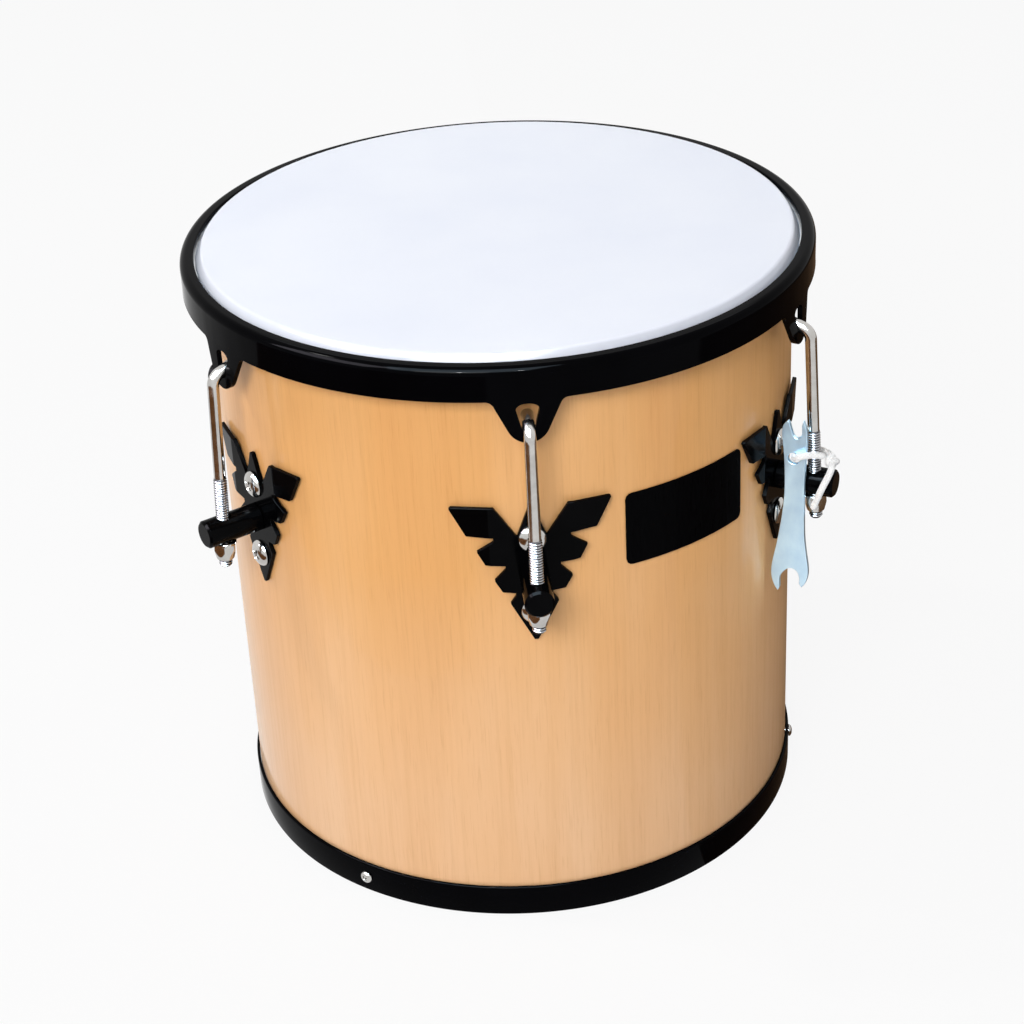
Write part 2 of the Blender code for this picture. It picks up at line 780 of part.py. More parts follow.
def cord_route():
    """The cord's centreline in millimetres as (out, along the shell, up) from where its rod crosses the post.

    It leaves the knot, crosses in front of the rod, goes through the spanner's hole and round behind
    the rod, passes through the knot and ends in a short tail beside the post.
    """
    return [
        (5.3, -6.2, 17.0), (3.2, -8.2, 18.0), (0.8, -10.0, 18.4), (-1.9, -11.6, 18.3),
        (-4.8, -12.2, 17.3), (-6.8, -10.4, 15.9), (-7.4, -7.4, 14.9), (-7.1, -3.6, 14.1),
        (-6.5, 0.6, 13.4), (-4.7, 4.6, 12.9), (-1.0, 6.9, 12.6), (3.2, 6.2, 12.5),
        (6.6, 2.6, 12.6), (8.6, -2.2, 12.7), (10.1, -6.4, 12.1), (9.6, -9.6, 9.0),
        (7.7, -11.4, 4.2), (5.6, -12.0, -1.4), (3.4, -11.8, -7.5),
    ]


def cord_gap(line):
    """The least gap between the cord and itself, over points at least four diameters apart along it."""
    travelled = [0]
    for low, high in zip(line, line[1:]):
        travelled.append(travelled[-1] + (high - low).length)
    gaps = []
    for i, first in enumerate(line):
        for j in range(i):
            if travelled[i] - travelled[j] > 8 * CORD_R:
                gaps.append((first - line[j]).length - 2 * CORD_R)
    return min(gaps)


def make_cord(finish):
    """The cord as one bevelled curve, and the knot as a ring round it at the outer side of the rod."""
    lug = bpy.data.objects[f"lug_{SPANNER_LUG}"]
    crossing = Vector((0, -rod_out, post_z))
    route = [Vector((t, -out, up)) * MM + crossing for out, t, up in cord_route()]
    line = smooth(route, 2)
    print(f"spanner_cord clears itself by {cord_gap(line) / MM:.2f} mm")
    data = bpy.data.curves.new("spanner_cord", "CURVE")
    data.dimensions = "3D"
    data.bevel_depth = CORD_R
    data.bevel_resolution = 2
    data.use_fill_caps = True
    spline = data.splines.new("POLY")
    spline.points.add(len(line) - 1)
    for point, at in zip(spline.points, line):
        point.co = (*at, 1)
    place("spanner_cord", data, finish, lug)
    major = CORD_R + GAP + KNOT_R

    def build(bm):
        rings = []
        for spoke in circle(1, 12):
            rings.append([spoke * (major + p.x) + Vector((0, 0, p.y)) for p in circle(KNOT_R, 6)])
        loft(bm, rings, loop=True)

    heading = route[KNOT_POINT + 1] - route[KNOT_POINT - 1]
    turn = heading.to_track_quat("Z", "Y").to_euler()
    place("cord_knot", mesh_of("cord_knot", build), finish, lug, route[KNOT_POINT], turn)


def main():
    for old in list(bpy.data.objects):
        bpy.data.objects.remove(old)
    wood = material("natural_wood", (0.80, 0.52, 0.29), 0.32)
    black = material("black_paint", (0.006, 0.006, 0.008), 0.18)
    chrome = material("chrome", (0.78, 0.78, 0.80), 0.12, 1.0)
    zinc = material("zinc_plate", (0.62, 0.68, 0.74), 0.35, 1.0)
    film = material("white_film", (0.86, 0.88, 0.90), 0.25)
    aluminium = material("aluminium", (0.70, 0.71, 0.72), 0.35, 1.0)
    cotton = material("white_cotton", (0.85, 0.84, 0.80), 0.9)
    make_shell(wood)
    make_band(black)
    make_head(film)
    make_flesh_hoop(aluminium)
    make_counterhoop(black)
    make_lugs(black, chrome, zinc)
    make_band_screws(chrome)
    make_badge(black)
    make_spanner(zinc)
    make_cord(cotton)


main()
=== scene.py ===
"""The looks of the hand repique: its finishes and fine shapes, with a floor, light and a camera."""

import math

import bmesh
import bpy
from mathutils import Matrix, Vector


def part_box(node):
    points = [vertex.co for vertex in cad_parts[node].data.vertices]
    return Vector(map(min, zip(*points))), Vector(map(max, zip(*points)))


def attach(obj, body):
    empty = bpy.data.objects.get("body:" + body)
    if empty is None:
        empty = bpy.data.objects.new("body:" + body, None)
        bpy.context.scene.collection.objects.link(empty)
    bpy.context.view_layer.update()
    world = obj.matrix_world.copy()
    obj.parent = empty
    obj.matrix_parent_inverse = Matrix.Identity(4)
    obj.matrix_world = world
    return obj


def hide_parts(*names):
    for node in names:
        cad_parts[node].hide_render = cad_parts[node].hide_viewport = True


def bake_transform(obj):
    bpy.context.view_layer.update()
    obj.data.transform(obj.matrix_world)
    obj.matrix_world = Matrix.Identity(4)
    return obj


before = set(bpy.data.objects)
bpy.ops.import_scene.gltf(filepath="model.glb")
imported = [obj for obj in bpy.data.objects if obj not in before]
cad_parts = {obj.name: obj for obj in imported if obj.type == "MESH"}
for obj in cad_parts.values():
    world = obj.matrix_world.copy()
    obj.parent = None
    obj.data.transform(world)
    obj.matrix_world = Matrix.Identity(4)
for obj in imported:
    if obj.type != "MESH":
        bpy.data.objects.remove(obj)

MM = 0.001
DRUM = "drum"
HOOP = "hoop"

# Shell
SHELL_WALL = 7 * MM
EDGE_ROUND = 1.2 * MM
EDGE_FLAT = 1 * MM
RIM_ROUND = 0.5 * MM

# Band and its screws
BAND_T = 1.5 * MM
BAND_TOP_BREAK = 0.2 * MM
BAND_TOP_ROUND = 0.9 * MM
BAND_FOOT_ROUND = 0.5 * MM
BAND_SCREWS = 3
BAND_SCREW_TURN = math.radians(-38)
BAND_SCREW_Z = 8.1 * MM
BAND_SCREW_HEAD_R = 3.2 * MM
BAND_SCREW_HEAD_H = 1.8 * MM
BAND_SCREW_R = 1.5 * MM
BAND_SCREW_LENGTH = 7.2 * MM
BAND_SCREW_CROSS = (1.7 * MM, 0.42 * MM, 1.1 * MM)

# Head. Its flat part has rings of these radii, and its collar bends softly into its hem
FILM_T = 0.6 * MM
FILM_RINGS = (0.2 * MM, 50 * MM, 100 * MM)
COLLAR_SLOPE = math.radians(60)
HEM_BEND_IN = 0.1 * MM
HEM_BEND_UP = 0.25 * MM
HEM_BEND_DOWN = 0.3 * MM

# Counterhoop
HOOP_T = 2.4 * MM
HOOP_ROUND = 3.5 * MM
HOOP_SKIRT = 15.7 * MM
LIP_FIT = 0.8 * MM
LIP_ROUND = 0.7 * MM
EAR_TIP_R = 9.6 * MM
EAR_KICK = 1.8 * MM
EAR_FLARE = math.radians(26.5)
EAR_FILLET = 4 * MM
EAR_SLOT_FLOOR = 4.9 * MM
EAR_SLOT_RISE = 9.7 * MM
EAR_SLOT_ROUND = 2.7 * MM
EAR_SLOT_HALF = 5.1 * MM
HOOP_SOFT = 0.45 * MM

# Lugs. A cross is half its arm's length, half its arm's width and its depth
LUGS = 6
GAP = 0.3 * MM
THREAD_R = 3.175 * MM
THREAD_DEPTH = 0.62 * MM
THREAD_PITCH = 1.27 * MM
ROD_R = 2.75 * MM
BORE_R = 3.775 * MM
THREAD_ABOVE_POST = 26.7 * MM
ROD_BELOW_POST = 19.2 * MM
ROD_LEAN = math.radians(2.7)
ROD_CHAMFER = 0.9 * MM
HOOK_BEND_R = 6.2 * MM
HOOK_RISE = math.radians(21)
HOOK_REACH = 3.4 * MM
POST_R = 6.7 * MM
POST_PAST_ROD = 10.2 * MM
POST_CHAMFER = 1 * MM
POST_ROOT_BREAK = 0.3 * MM
POST_END_RIM = 0.6 * MM
POST_END_CORE_R = 2 * MM
POST_SOFT = 0.2 * MM
PLATE_SOFT = 0.35 * MM
PLATE_WELD = 0.01 * MM
SPOT_DEPTH = 0.8 * MM
NUT_FLATS = 9.55 * MM
NUT_FLANGE_R = 5.61 * MM
NUT_FLANGE_H = 1.4 * MM
NUT_H = 8.8 * MM
NUT_TAPER_H = 4.8 * MM
NUT_TIP_WALL = 0.4 * MM
NUT_EDGE = 0.25 * MM
NUT_FLAT_EASE = 0.05 * MM
NUT_MOUTH = 0.3 * MM
SCREW_HEAD_R = 6.5 * MM
SCREW_HEAD_H = 3 * MM
SCREW_R = 2.5 * MM
SCREW_PAST_NUT = 1.5 * MM
SCREW_RIM_BREAK = 0.2 * MM
SCREW_CROSS = (3.2 * MM, 0.75 * MM, 1.9 * MM)
UPPER_SCREW_UP = 17.2 * MM
LOWER_SCREW_DOWN = 19.8 * MM
INNER_FLANGE_R = 6 * MM
INNER_FLANGE_H = 1.5 * MM
INNER_FLATS = 8 * MM
INNER_NUT_H = 5.5 * MM
INNER_TAPER_H = 0.6 * MM

# Spanner and cord
SPANNER_LUG = 1
SPANNER_T = 2.2 * MM
SPANNER_GAP = 0.6 * MM
SPANNER_HOLE_IN = 7.5 * MM
SPANNER_HOLE_UP = 14.9 * MM
SPANNER_HOLE_R = 3 * MM
SPANNER_EDGE = 0.35 * MM
JAW_FIT = 0.1 * MM
JAW_MIDDLE = -1.2 * MM
CORD_R = 1.6 * MM
KNOT_POINT = 13
KNOT_POINTS = 72
KNOT_WIDE = 0.85 * MM
KNOT_HIGH = 1.3 * MM
KNOT_STRAND_R = 1.25 * MM
BRAID_STRANDS = 6
BRAID_TURNS_PER_METRE = 620

# Mesh: points round a large ring, a small part and a screw, and from what angle edges stay hard
RING_STEPS = 256
PART_STEPS = 48
SCREW_STEPS = 40
HARD_DEGREES = 35

# Camera: where it stands from the drum's base and how it is turned
CAMERA_AT = Vector((-0.0617, -1.0149, 0.7224))
CAMERA_TURN = math.radians(-3.5)
CAMERA_DOWN = math.radians(29.64)
CAMERA_ROLL = math.radians(2.937)
CAMERA_LENS = 81.04
CAMERA_REACH = 50

# Light: how strong the room is on things and as it is seen, and how much of the floor glows
ROOM_LIGHT = 0.42
ROOM_SEEN = 1.0
FLOOR_GLOW = 0.90
FLOOR_HALF = 30
FLOOR_DROP = 0.05 * MM

# Cards that lie on the floor: corners as (x, y) in metres, and a colour
WARM_CARD = [(-1.4, -1.3), (-0.12, -0.75), (-0.12, -0.34), (-0.52, 0.02), (-1.4, 0.02)]
WARM_CARD_COLOUR = (0.16, 0.07, 0.028)
DARK_CARD = [(0.05, -0.10), (0.5, -0.34), (1.6, -0.34), (1.6, 2.2), (0.05, 2.2)]
DARK_CARD_COLOUR = (0.20, 0.12, 0.07)

shell_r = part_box("shell")[1].x
shell_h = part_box("shell")[1].z
shell_in_r = shell_r - SHELL_WALL
film_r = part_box("head_film")[1].x
film_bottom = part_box("head_film")[0].z
band_out_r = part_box("bottom_band")[1].x
band_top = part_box("bottom_band")[1].z
hoop_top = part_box("counterhoop")[1].z
hoop_out_r = -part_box("counterhoop")[0].y - EAR_KICK
ear_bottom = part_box("counterhoop")[0].z
skirt_bottom = hoop_top - HOOP_SKIRT
ear_bend_z = skirt_bottom + HOOP_T / 2
skirt_in_r = hoop_out_r - HOOP_T
lip_r = film_r + LIP_FIT
lug_turn = math.tau / LUGS
facing_out = Matrix.Rotation(math.pi / 2, 4, "X")
plate_front = -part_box("lug_plate_0")[0].y
post_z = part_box("lug_post_0")[1].z - POST_R
post_out = -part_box("lug_post_0")[0].y
rod_out = post_out - POST_PAST_ROD
rod_lean = Vector((0, math.sin(ROD_LEAN), math.cos(ROD_LEAN)))
hook_z = ear_bottom + EAR_SLOT_FLOOR + GAP + ROD_R / math.cos(HOOK_RISE)
slot_out = hoop_out_r + EAR_KICK * (ear_bend_z - hook_z) / (ear_bend_z - ear_bottom)
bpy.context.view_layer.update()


class Tree:
    """A material's nodes, added and linked in one call each."""

    def __init__(self, name):
        self.material = bpy.data.materials.new(name)
        self.material.use_nodes = True
        self.nodes = self.material.node_tree.nodes
        self.links = self.material.node_tree.links
        self.shader = self.nodes["Principled BSDF"]

    def add(self, kind, settings=None, **inputs):
        """A node whose inputs are numbers or other nodes' sockets, with underscores for spaces."""
        made = self.nodes.new("ShaderNode" + kind)
        for key, value in (settings or {}).items():
            setattr(made, key, value)
        for key, value in inputs.items():
            self.feed(made, key.replace("_", " "), value)
        return made

    def feed(self, target, key, value):
        if isinstance(value, bpy.types.NodeSocket):
            self.links.new(value, target.inputs[key])
        else:
            target.inputs[key].default_value = value

    def set(self, **inputs):
        for key, value in inputs.items():
            self.feed(self.shader, key.replace("_", " "), value)

    def place(self, scale):
        """The object's own coordinates in metres, stretched by a scale for each axis."""
        where = self.add("TexCoord").outputs["Object"]
        return self.add("Mapping", Vector=where, Scale=scale).outputs["Vector"]

    def noise(self, scale, detail, roughness=0.5):
        """Noise over the object from 0 to 1, with so many features to the metre along each axis."""
        made = self.add(
            "TexNoise", Vector=self.place(scale), Scale=1, Detail=detail, Roughness=roughness
        )
        return made.outputs["Fac"]

    def ramp(self, value, *stops):
        """A colour for each place along a value, from (place, colour) stops."""
        made = self.add("ValToRGB", Fac=value)
        elements = made.color_ramp.elements
        while len(elements) < len(stops):
            elements.new(0.5)
        for element, (at, colour) in zip(elements, stops):
            element.position = at
            element.color = (*colour, 1)
        return made.outputs["Color"]

    def span(self, value, low, high, start=0.0, end=1.0):
        """A value carried from low..high to start..end, and held at the ends."""
        made = self.add(
            "MapRange", Value=value, From_Min=low, From_Max=high, To_Min=start, To_Max=end
        )
        return made.outputs["Result"]

    def math(self, operation, first, second=0.0):
        made = self.add("Math", {"operation": operation})
        self.feed(made, 0, first)
        self.feed(made, 1, second)
        return made.outputs["Value"]

    def mix(self, share, first, second, blend="MIX"):
        """Two colours' sockets mixed. A Mix node keeps its colours in inputs 6 and 7."""
        made = self.add("Mix", {"data_type": "RGBA", "blend_type": blend})
        for key, value in ((0, share), (6, first), (7, second)):
            self.feed(made, key, value)
        return made.outputs[2]

    def bump(self, height, distance, strength):
        made = self.add("Bump", Height=height, Distance=distance, Strength=strength)
        self.set(Normal=made.outputs["Normal"])

    def radius(self, where=None):
        """The distance from the object's own upright axis."""
        where = where or self.add("TexCoord").outputs["Object"]
        flat = self.add("VectorMath", {"operation": "MULTIPLY"})
        self.feed(flat, 0, where)
        self.feed(flat, 1, (1, 1, 0))
        length = self.add("VectorMath", {"operation": "LENGTH"})
        self.feed(length, 0, flat.outputs["Vector"])
        return length.outputs["Value"]


def lacquered_wood():
    """Pale veneer: broad figure, fine upright grain and short dark pores under clear lacquer.
    Painted light makes it paler towards the bottom and more orange towards the top.
    """
    tree = Tree("lacquered_wood")
    figure = tree.noise((26, 26, 3.2), 3)
    grain = tree.noise((420, 420, 9), 4, 0.65)
    pores = tree.noise((1500, 1500, 55), 2)
    high = tree.ramp(
        figure,
        (0.3, (0.80, 0.405, 0.145)),
        (0.5, (0.82, 0.43, 0.160)),
        (0.72, (0.84, 0.465, 0.195)),
    )
    low = tree.ramp(
        figure,
        (0.3, (0.80, 0.465, 0.235)),
        (0.5, (0.83, 0.495, 0.260)),
        (0.72, (0.85, 0.53, 0.30)),
    )
    # Painted light: the orange upper tone blends into a paler tone towards the bottom of the shell,
    # along a noisy line.
    height = tree.add("SeparateXYZ", Vector=tree.add("TexCoord").outputs["Object"]).outputs["Z"]
    drift = tree.span(tree.noise((9, 9, 9), 2), 0, 1, -0.06, 0.06)
    figure_and_painted_light = tree.mix(tree.span(tree.math("ADD", height, drift), 0.06, 0.20), low, high)
    streak = tree.ramp(
        grain, (0.3, (0.88, 0.82, 0.75)), (0.55, (1, 1, 1)), (0.8, (1.0, 0.99, 0.97))
    )
    streaked = tree.mix(0.38, figure_and_painted_light, streak, "MULTIPLY")
    pore = tree.ramp(pores, (0.32, (0.72, 0.58, 0.46)), (0.42, (1, 1, 1)))
    tree.set(Base_Color=tree.mix(0.18, streaked, pore, "MULTIPLY"))
    tree.set(Roughness=tree.span(grain, 0.3, 0.7, 0.42, 0.32))
    tree.set(Specular_IOR_Level=0.1, Coat_Weight=0.4, Coat_Roughness=0.07, Coat_IOR=1.45)
    tree.bump(tree.math("ADD", grain, pores), 0.05 * MM, 0.5)
    return tree.material


def raw_wood():
    """The unlacquered inside of the shell."""
    tree = Tree("raw_wood")
    grain = tree.noise((260, 260, 8), 5, 0.7)
    tree.set(Base_Color=tree.ramp(grain, (0.3, (0.48, 0.27, 0.13)), (0.7, (0.70, 0.46, 0.26))))
    tree.set(Roughness=tree.span(grain, 0.3, 0.7, 0.85, 0.7))
    tree.bump(grain, 0.15 * MM, 0.6)
    return tree.material


def ply_edge():
    """The cut edge of the shell's plies, as rings about the drum's axis."""
    tree = Tree("ply_edge")
    ply_t = 0.8 * MM
    ply = tree.math("PINGPONG", tree.radius(), ply_t)
    fibre = tree.noise((500, 500, 500), 3)
    across = tree.span(ply, 0, ply_t)
    rings = tree.ramp(across, (0.35, (0.40, 0.22, 0.10)), (0.6, (0.74, 0.50, 0.28)))
    rough = tree.ramp(fibre, (0.3, (0.5, 0.4, 0.3)), (0.7, (1, 1, 1)))
    tree.set(Base_Color=tree.mix(0.3, rings, rough, "MULTIPLY"))
    tree.set(Roughness=0.8)
    tree.bump(fibre, 0.1 * MM, 0.5)
    return tree.material


def gloss_black():
    """Poured gloss paint with a faint orange peel."""
    tree = Tree("gloss_black")
    peel = tree.noise((380, 380, 380), 2)
    cloud = tree.noise((30, 30, 30), 3)
    paint = tree.ramp(cloud, (0.3, (0.0006, 0.0006, 0.0010)), (0.7, (0.0012, 0.0012, 0.0018)))
    tree.set(Base_Color=paint)
    tree.set(Roughness=tree.span(cloud, 0.3, 0.7, 0.05, 0.09), Specular_IOR_Level=0.018)
    tree.bump(peel, 0.01 * MM, 0.3)
    return tree.material


def satin_black():
    """Powder coat on the lug plates and posts, a little coarser than the hoop's paint."""
    tree = Tree("satin_black")
    grit = tree.noise((1400, 1400, 1400), 3)
    cloud = tree.noise((60, 60, 60), 2)
    paint = tree.ramp(cloud, (0.3, (0.0007, 0.0007, 0.0010)), (0.7, (0.0014, 0.0014, 0.0018)))
    tree.set(Base_Color=paint)
    tree.set(Roughness=tree.span(grit, 0.3, 0.7, 0.09, 0.15), Specular_IOR_Level=0.03)
    tree.bump(grit, 0.01 * MM, 0.3)
    return tree.material


def badge_black():
    """Black enamel on thin sheet, with a fine rolled grain."""
    tree = Tree("badge_black")
    grain = tree.noise((900, 900, 140), 3)
    paint = tree.ramp(grain, (0.3, (0.0007, 0.0007, 0.0010)), (0.7, (0.0014, 0.0014, 0.0018)))
    tree.set(Base_Color=paint)
    tree.set(Roughness=tree.span(grain, 0.3, 0.7, 0.26, 0.36), Specular_IOR_Level=0.012)
    tree.bump(grain, 0.01 * MM, 0.4)
    return tree.material


def chrome():
    """Bright plate with light polishing marks and a few duller patches."""
    tree = Tree("chrome")
    marks = tree.noise((300, 300, 2600), 2)
    dull = tree.noise((120, 120, 120), 3)
    tree.set(Base_Color=tree.ramp(dull, (0.3, (0.47, 0.455, 0.435)), (0.7, (0.60, 0.585, 0.56))))
    tree.set(Roughness=tree.span(dull, 0.35, 0.75, 0.08, 0.2), Metallic=1.0)
    tree.bump(marks, 0.01 * MM, 0.3)
    return tree.material


def threaded_chrome():
    """The same plate on the rods' threads, with painted shade that darkens their valleys."""
    tree = Tree("threaded_chrome")
    where = tree.add("TexCoord").outputs["Object"]
    upright = tree.add("Mapping", Vector=where, Rotation=(ROD_LEAN, 0, 0)).outputs["Vector"]
    # Painted shade: the plate darkens from the thread's crests down into its valleys, by the
    # distance from the rod's leaning axis.
    depth = tree.span(tree.radius(upright), THREAD_R - THREAD_DEPTH, THREAD_R - 0.1 * MM)
    grime = tree.noise((300, 300, 300), 3)
    plate = tree.ramp(
        depth, (0.2, (0.05, 0.05, 0.055)), (0.7, (0.26, 0.26, 0.27)), (1.0, (0.44, 0.44, 0.45))
    )
    tree.set(Base_Color=plate)
    tree.set(Roughness=tree.span(grime, 0.3, 0.7, 0.14, 0.3), Metallic=1.0)
    tree.bump(grime, 0.02 * MM, 0.3)
    return tree.material


def zinc():
    """Pale blue zinc plate with a cloudy bloom."""
    tree = Tree("zinc")
    bloom = tree.noise((140, 140, 90), 4, 0.6)
    tooth = tree.noise((2200, 2200, 700), 2)
    tree.set(Base_Color=tree.ramp(bloom, (0.3, (0.55, 0.77, 0.95)), (0.7, (0.66, 0.87, 1.0))))
    tree.set(Roughness=tree.span(bloom, 0.3, 0.7, 0.30, 0.42), Metallic=0.85)
    tree.bump(tooth, 0.015 * MM, 0.5)
    return tree.material


def aluminium():
    """The drawn ring inside the hoop."""
    tree = Tree("aluminium")
    drawn = tree.noise((90, 90, 3000), 2)
    tree.set(Base_Color=tree.ramp(drawn, (0.3, (0.60, 0.61, 0.62)), (0.7, (0.74, 0.75, 0.76))))
    tree.set(Roughness=tree.span(drawn, 0.3, 0.7, 0.30, 0.45), Metallic=1.0)
    tree.bump(drawn, 0.02 * MM, 0.3)
    return tree.material


def white_film():
    """Glossy white film, with painted shade that greys it over the edge and down the collar."""
    tree = Tree("white_film")
    haze = tree.noise((14, 14, 14), 3)
    speck = tree.noise((800, 800, 800), 2)
    field = tree.ramp(haze, (0.3, (0.79, 0.83, 0.94)), (0.7, (0.83, 0.865, 0.955)))
    # Painted shade: the film greys from white to a darker grey over the bearing edge and down the
    # collar, by the distance from the drum's axis.
    out = tree.span(tree.radius(), shell_r - 1.6 * MM, film_r)
    collar_shade = tree.ramp(
        out,
        (0.0, (1, 1, 1)),
        (0.4, (0.98, 0.98, 0.99)),
        (0.85, (0.91, 0.92, 0.94)),
        (1.0, (0.74, 0.76, 0.79)),
    )
    tree.set(Base_Color=tree.mix(1.0, field, collar_shade, "MULTIPLY"))
    tree.set(Roughness=tree.span(haze, 0.3, 0.7, 0.16, 0.24), Specular_IOR_Level=0.4)
    tree.bump(tree.math("ADD", haze, tree.math("MULTIPLY", speck, 0.1)), 0.03 * MM, 0.3)
    return tree.material


def cotton():
    """Braided cotton: two sets of strands that cross, over the cord's own length and turn, with
    painted shade between the strands.
    """
    tree = Tree("cotton")
    uv = tree.add("UVMap").outputs["UV"]
    along, around = tree.add("SeparateXYZ", Vector=uv).outputs[:2]
    strands = []
    for way in (1, -1):
        slant = tree.math("MULTIPLY", around, BRAID_STRANDS * way)
        phase = tree.math("ADD", tree.math("MULTIPLY", along, BRAID_TURNS_PER_METRE), slant)
        strands.append(tree.math("SINE", tree.math("MULTIPLY", phase, math.tau)))
    braid = tree.math("MAXIMUM", *strands)
    fuzz = tree.noise((4000, 4000, 4000), 3)
    # Painted shade: the cotton is greyer where the braid sinks between its strands.
    braid_shade_mask = tree.span(braid, -0.6, 1)
    tree.set(Base_Color=tree.ramp(braid_shade_mask, (0.0, (0.86, 0.86, 0.85)), (0.6, (0.97, 0.97, 0.97))))
    tree.set(Roughness=0.9, Sheen_Weight=0.35, Sheen_Roughness=0.5)
    tree.bump(tree.math("ADD", braid, tree.math("MULTIPLY", fuzz, 0.6)), 0.12 * MM, 0.7)
    return tree.material


def pale_floor():
    """A floor almost white to the camera and in reflections, that keeps a faint shadow."""
    tree = Tree("pale_floor")
    grain = tree.noise((3, 3, 3), 2)
    pale = tree.ramp(grain, (0.3, (0.54, 0.54, 0.55)), (0.7, (0.57, 0.57, 0.58)))
    tree.set(Base_Color=pale, Roughness=0.8)
    light = tree.add("Emission", Strength=1.0)
    path = tree.add("LightPath").outputs
    seen = tree.math("MAXIMUM", path["Is Camera Ray"], path["Is Glossy Ray"])
    seen = tree.math("MAXIMUM", seen, path["Is Transmission Ray"])
    mixed = tree.add("MixShader", Fac=tree.math("MULTIPLY", seen, FLOOR_GLOW))
    tree.links.new(tree.shader.outputs["BSDF"], mixed.inputs[1])
    tree.links.new(light.outputs["Emission"], mixed.inputs[2])
    tree.links.new(mixed.outputs["Shader"], tree.nodes["Material Output"].inputs["Surface"])
    return tree.material


def add_object(name, mesh, finish=None, matrix=None):
    """An object that shows the mesh."""
    if finish and not mesh.materials:
        mesh.materials.append(finish)
    made = bpy.data.objects.new(name, mesh)
    bpy.context.scene.collection.objects.link(made)
    made.matrix_world = matrix or Matrix.Identity(4)
    return made


def stand_in(made, node, body):
    """The piece takes a CAD node's place and moves with its body."""
    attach(made, body)
    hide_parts(node)


def mesh_of(name, build, sharp=None):
    """The mesh that build(bm) makes, facing out. Edges over the sharp angle stay hard."""
    bm = bmesh.new()
    build(bm)
    bmesh.ops.recalc_face_normals(bm, faces=bm.faces)
    mesh = bpy.data.meshes.new(name)
    bm.to_mesh(mesh)
    bm.free()
    mesh.shade_smooth()
    if sharp:
        mesh.set_sharp_from_angle(angle=math.radians(sharp))
    return mesh


def skin(bm, rings, loop=False):
    """Joins rings of equally many points. A loop joins the last to the first, others are capped."""
    made = [[bm.verts.new(p) for p in ring] for ring in rings]
    count = len(made[0])
    pairs = list(zip(made, made[1:]))
    if loop:
        pairs.append((made[-1], made[0]))
    for low, high in pairs:
        for i in range(count):
            j = (i + 1) % count
            bm.faces.new((low[i], low[j], high[j], high[i]))
    if not loop:
        bm.faces.new(made[0])
        bm.faces.new(made[-1])


def turned(name, profile, sharp=HARD_DEGREES):
    """A closed profile of (radius, height) turned about Z."""

    def build(bm):
        rings = []
        for i in range(RING_STEPS):
            a = math.tau * i / RING_STEPS
            rings.append([Vector((r * math.cos(a), r * math.sin(a), z)) for r, z in profile])
        skin(bm, rings, loop=True)

    return mesh_of(name, build, sharp)


def capped(name, profile, steps=PART_STEPS):
    """A profile of (radius, height) turned about Z, closed by a flat cap at each end."""

    def build(bm):
        skin(bm, [circle(r, steps, z) for r, z in profile])

    return mesh_of(name, build, HARD_DEGREES)


def circle(radius, sides, height=0.0):
    turns = [math.tau * i / sides for i in range(sides)]
    return [Vector((radius * math.cos(a), radius * math.sin(a), height)) for a in turns]


def arc(centre, radius, first, last, steps):
    """Points on an arc in a plane, its angles in degrees."""
    points = []
    for i in range(steps + 1):
        a = math.radians(first + (last - first) * i / steps)
        points.append((centre[0] + radius * math.cos(a), centre[1] + radius * math.sin(a)))
    return points


def soften(made, width, segments, angle):
    """Rounds an object's edges over an angle in degrees and evens out its shading."""
    bevel = made.modifiers.new("soft_edges", "BEVEL")
    bevel.width = width
    bevel.segments = segments
    bevel.limit_method = "ANGLE"
    bevel.angle_limit = math.radians(angle)
    bevel.use_clamp_overlap = True
    normals = made.modifiers.new("even_normals", "WEIGHTED_NORMAL")
    normals.keep_sharp = False


def applied(made, tools, name):
    """The bare smooth mesh of an object that its tools have cut. All these objects are removed."""
    graph = bpy.context.evaluated_depsgraph_get()
    graph.update()
    mesh = bpy.data.meshes.new_from_object(made.evaluated_get(graph))
    for helper in (made, *tools):
        bpy.data.objects.remove(helper)
    mesh.name = name
    mesh.materials.clear()
    mesh.shade_smooth()
    return mesh


def cut(target, tool):
    boolean = target.modifiers.new("cut_" + tool.name, "BOOLEAN")
    boolean.operation = "DIFFERENCE"
    boolean.solver = "EXACT"
    boolean.object = tool


def rod_cutter(name, start, end, radius, sides):
    """A round cutter from one point to another."""
    turn = (end - start).to_track_quat("Z", "Y").to_matrix()
    rings = [[turn @ p + at for p in circle(radius, sides)] for at in (start, end)]
    return add_object(name, mesh_of(name, lambda bm: skin(bm, rings)))


def outward(turn):
    """The unit vector that points out of the shell at this turn from the front."""
    return Vector((math.sin(turn), -math.cos(turn), 0))


def lug_matrix(k, location, rotation=None):
    """Where a piece of lug k goes, from its place in lug 0's frame."""
    turn = Matrix.Rotation(k * lug_turn, 4, "Z")
    return turn @ Matrix.Translation(location) @ (rotation or Matrix.Identity(4))


def add_camera():
    camera = bpy.data.objects.new("camera", bpy.data.cameras.new("camera"))
    bpy.context.scene.collection.objects.link(camera)
    bpy.context.scene.camera = camera
    level = Vector((0, math.cos(CAMERA_DOWN), -math.sin(CAMERA_DOWN)))
    ahead = Matrix.Rotation(CAMERA_TURN, 3, "Z") @ level
    right = ahead.cross(Vector((0, 0, 1))).normalized()
    up = right.cross(ahead)
    rolled_right = right * math.cos(CAMERA_ROLL) - up * math.sin(CAMERA_ROLL)
    rolled_up = right * math.sin(CAMERA_ROLL) + up * math.cos(CAMERA_ROLL)
    axes = Matrix((rolled_right, rolled_up, -ahead)).transposed()
    camera.matrix_world = Matrix.Translation(CAMERA_AT) @ axes.to_4x4()
    camera.data.lens = CAMERA_LENS
    camera.data.clip_end = CAMERA_REACH


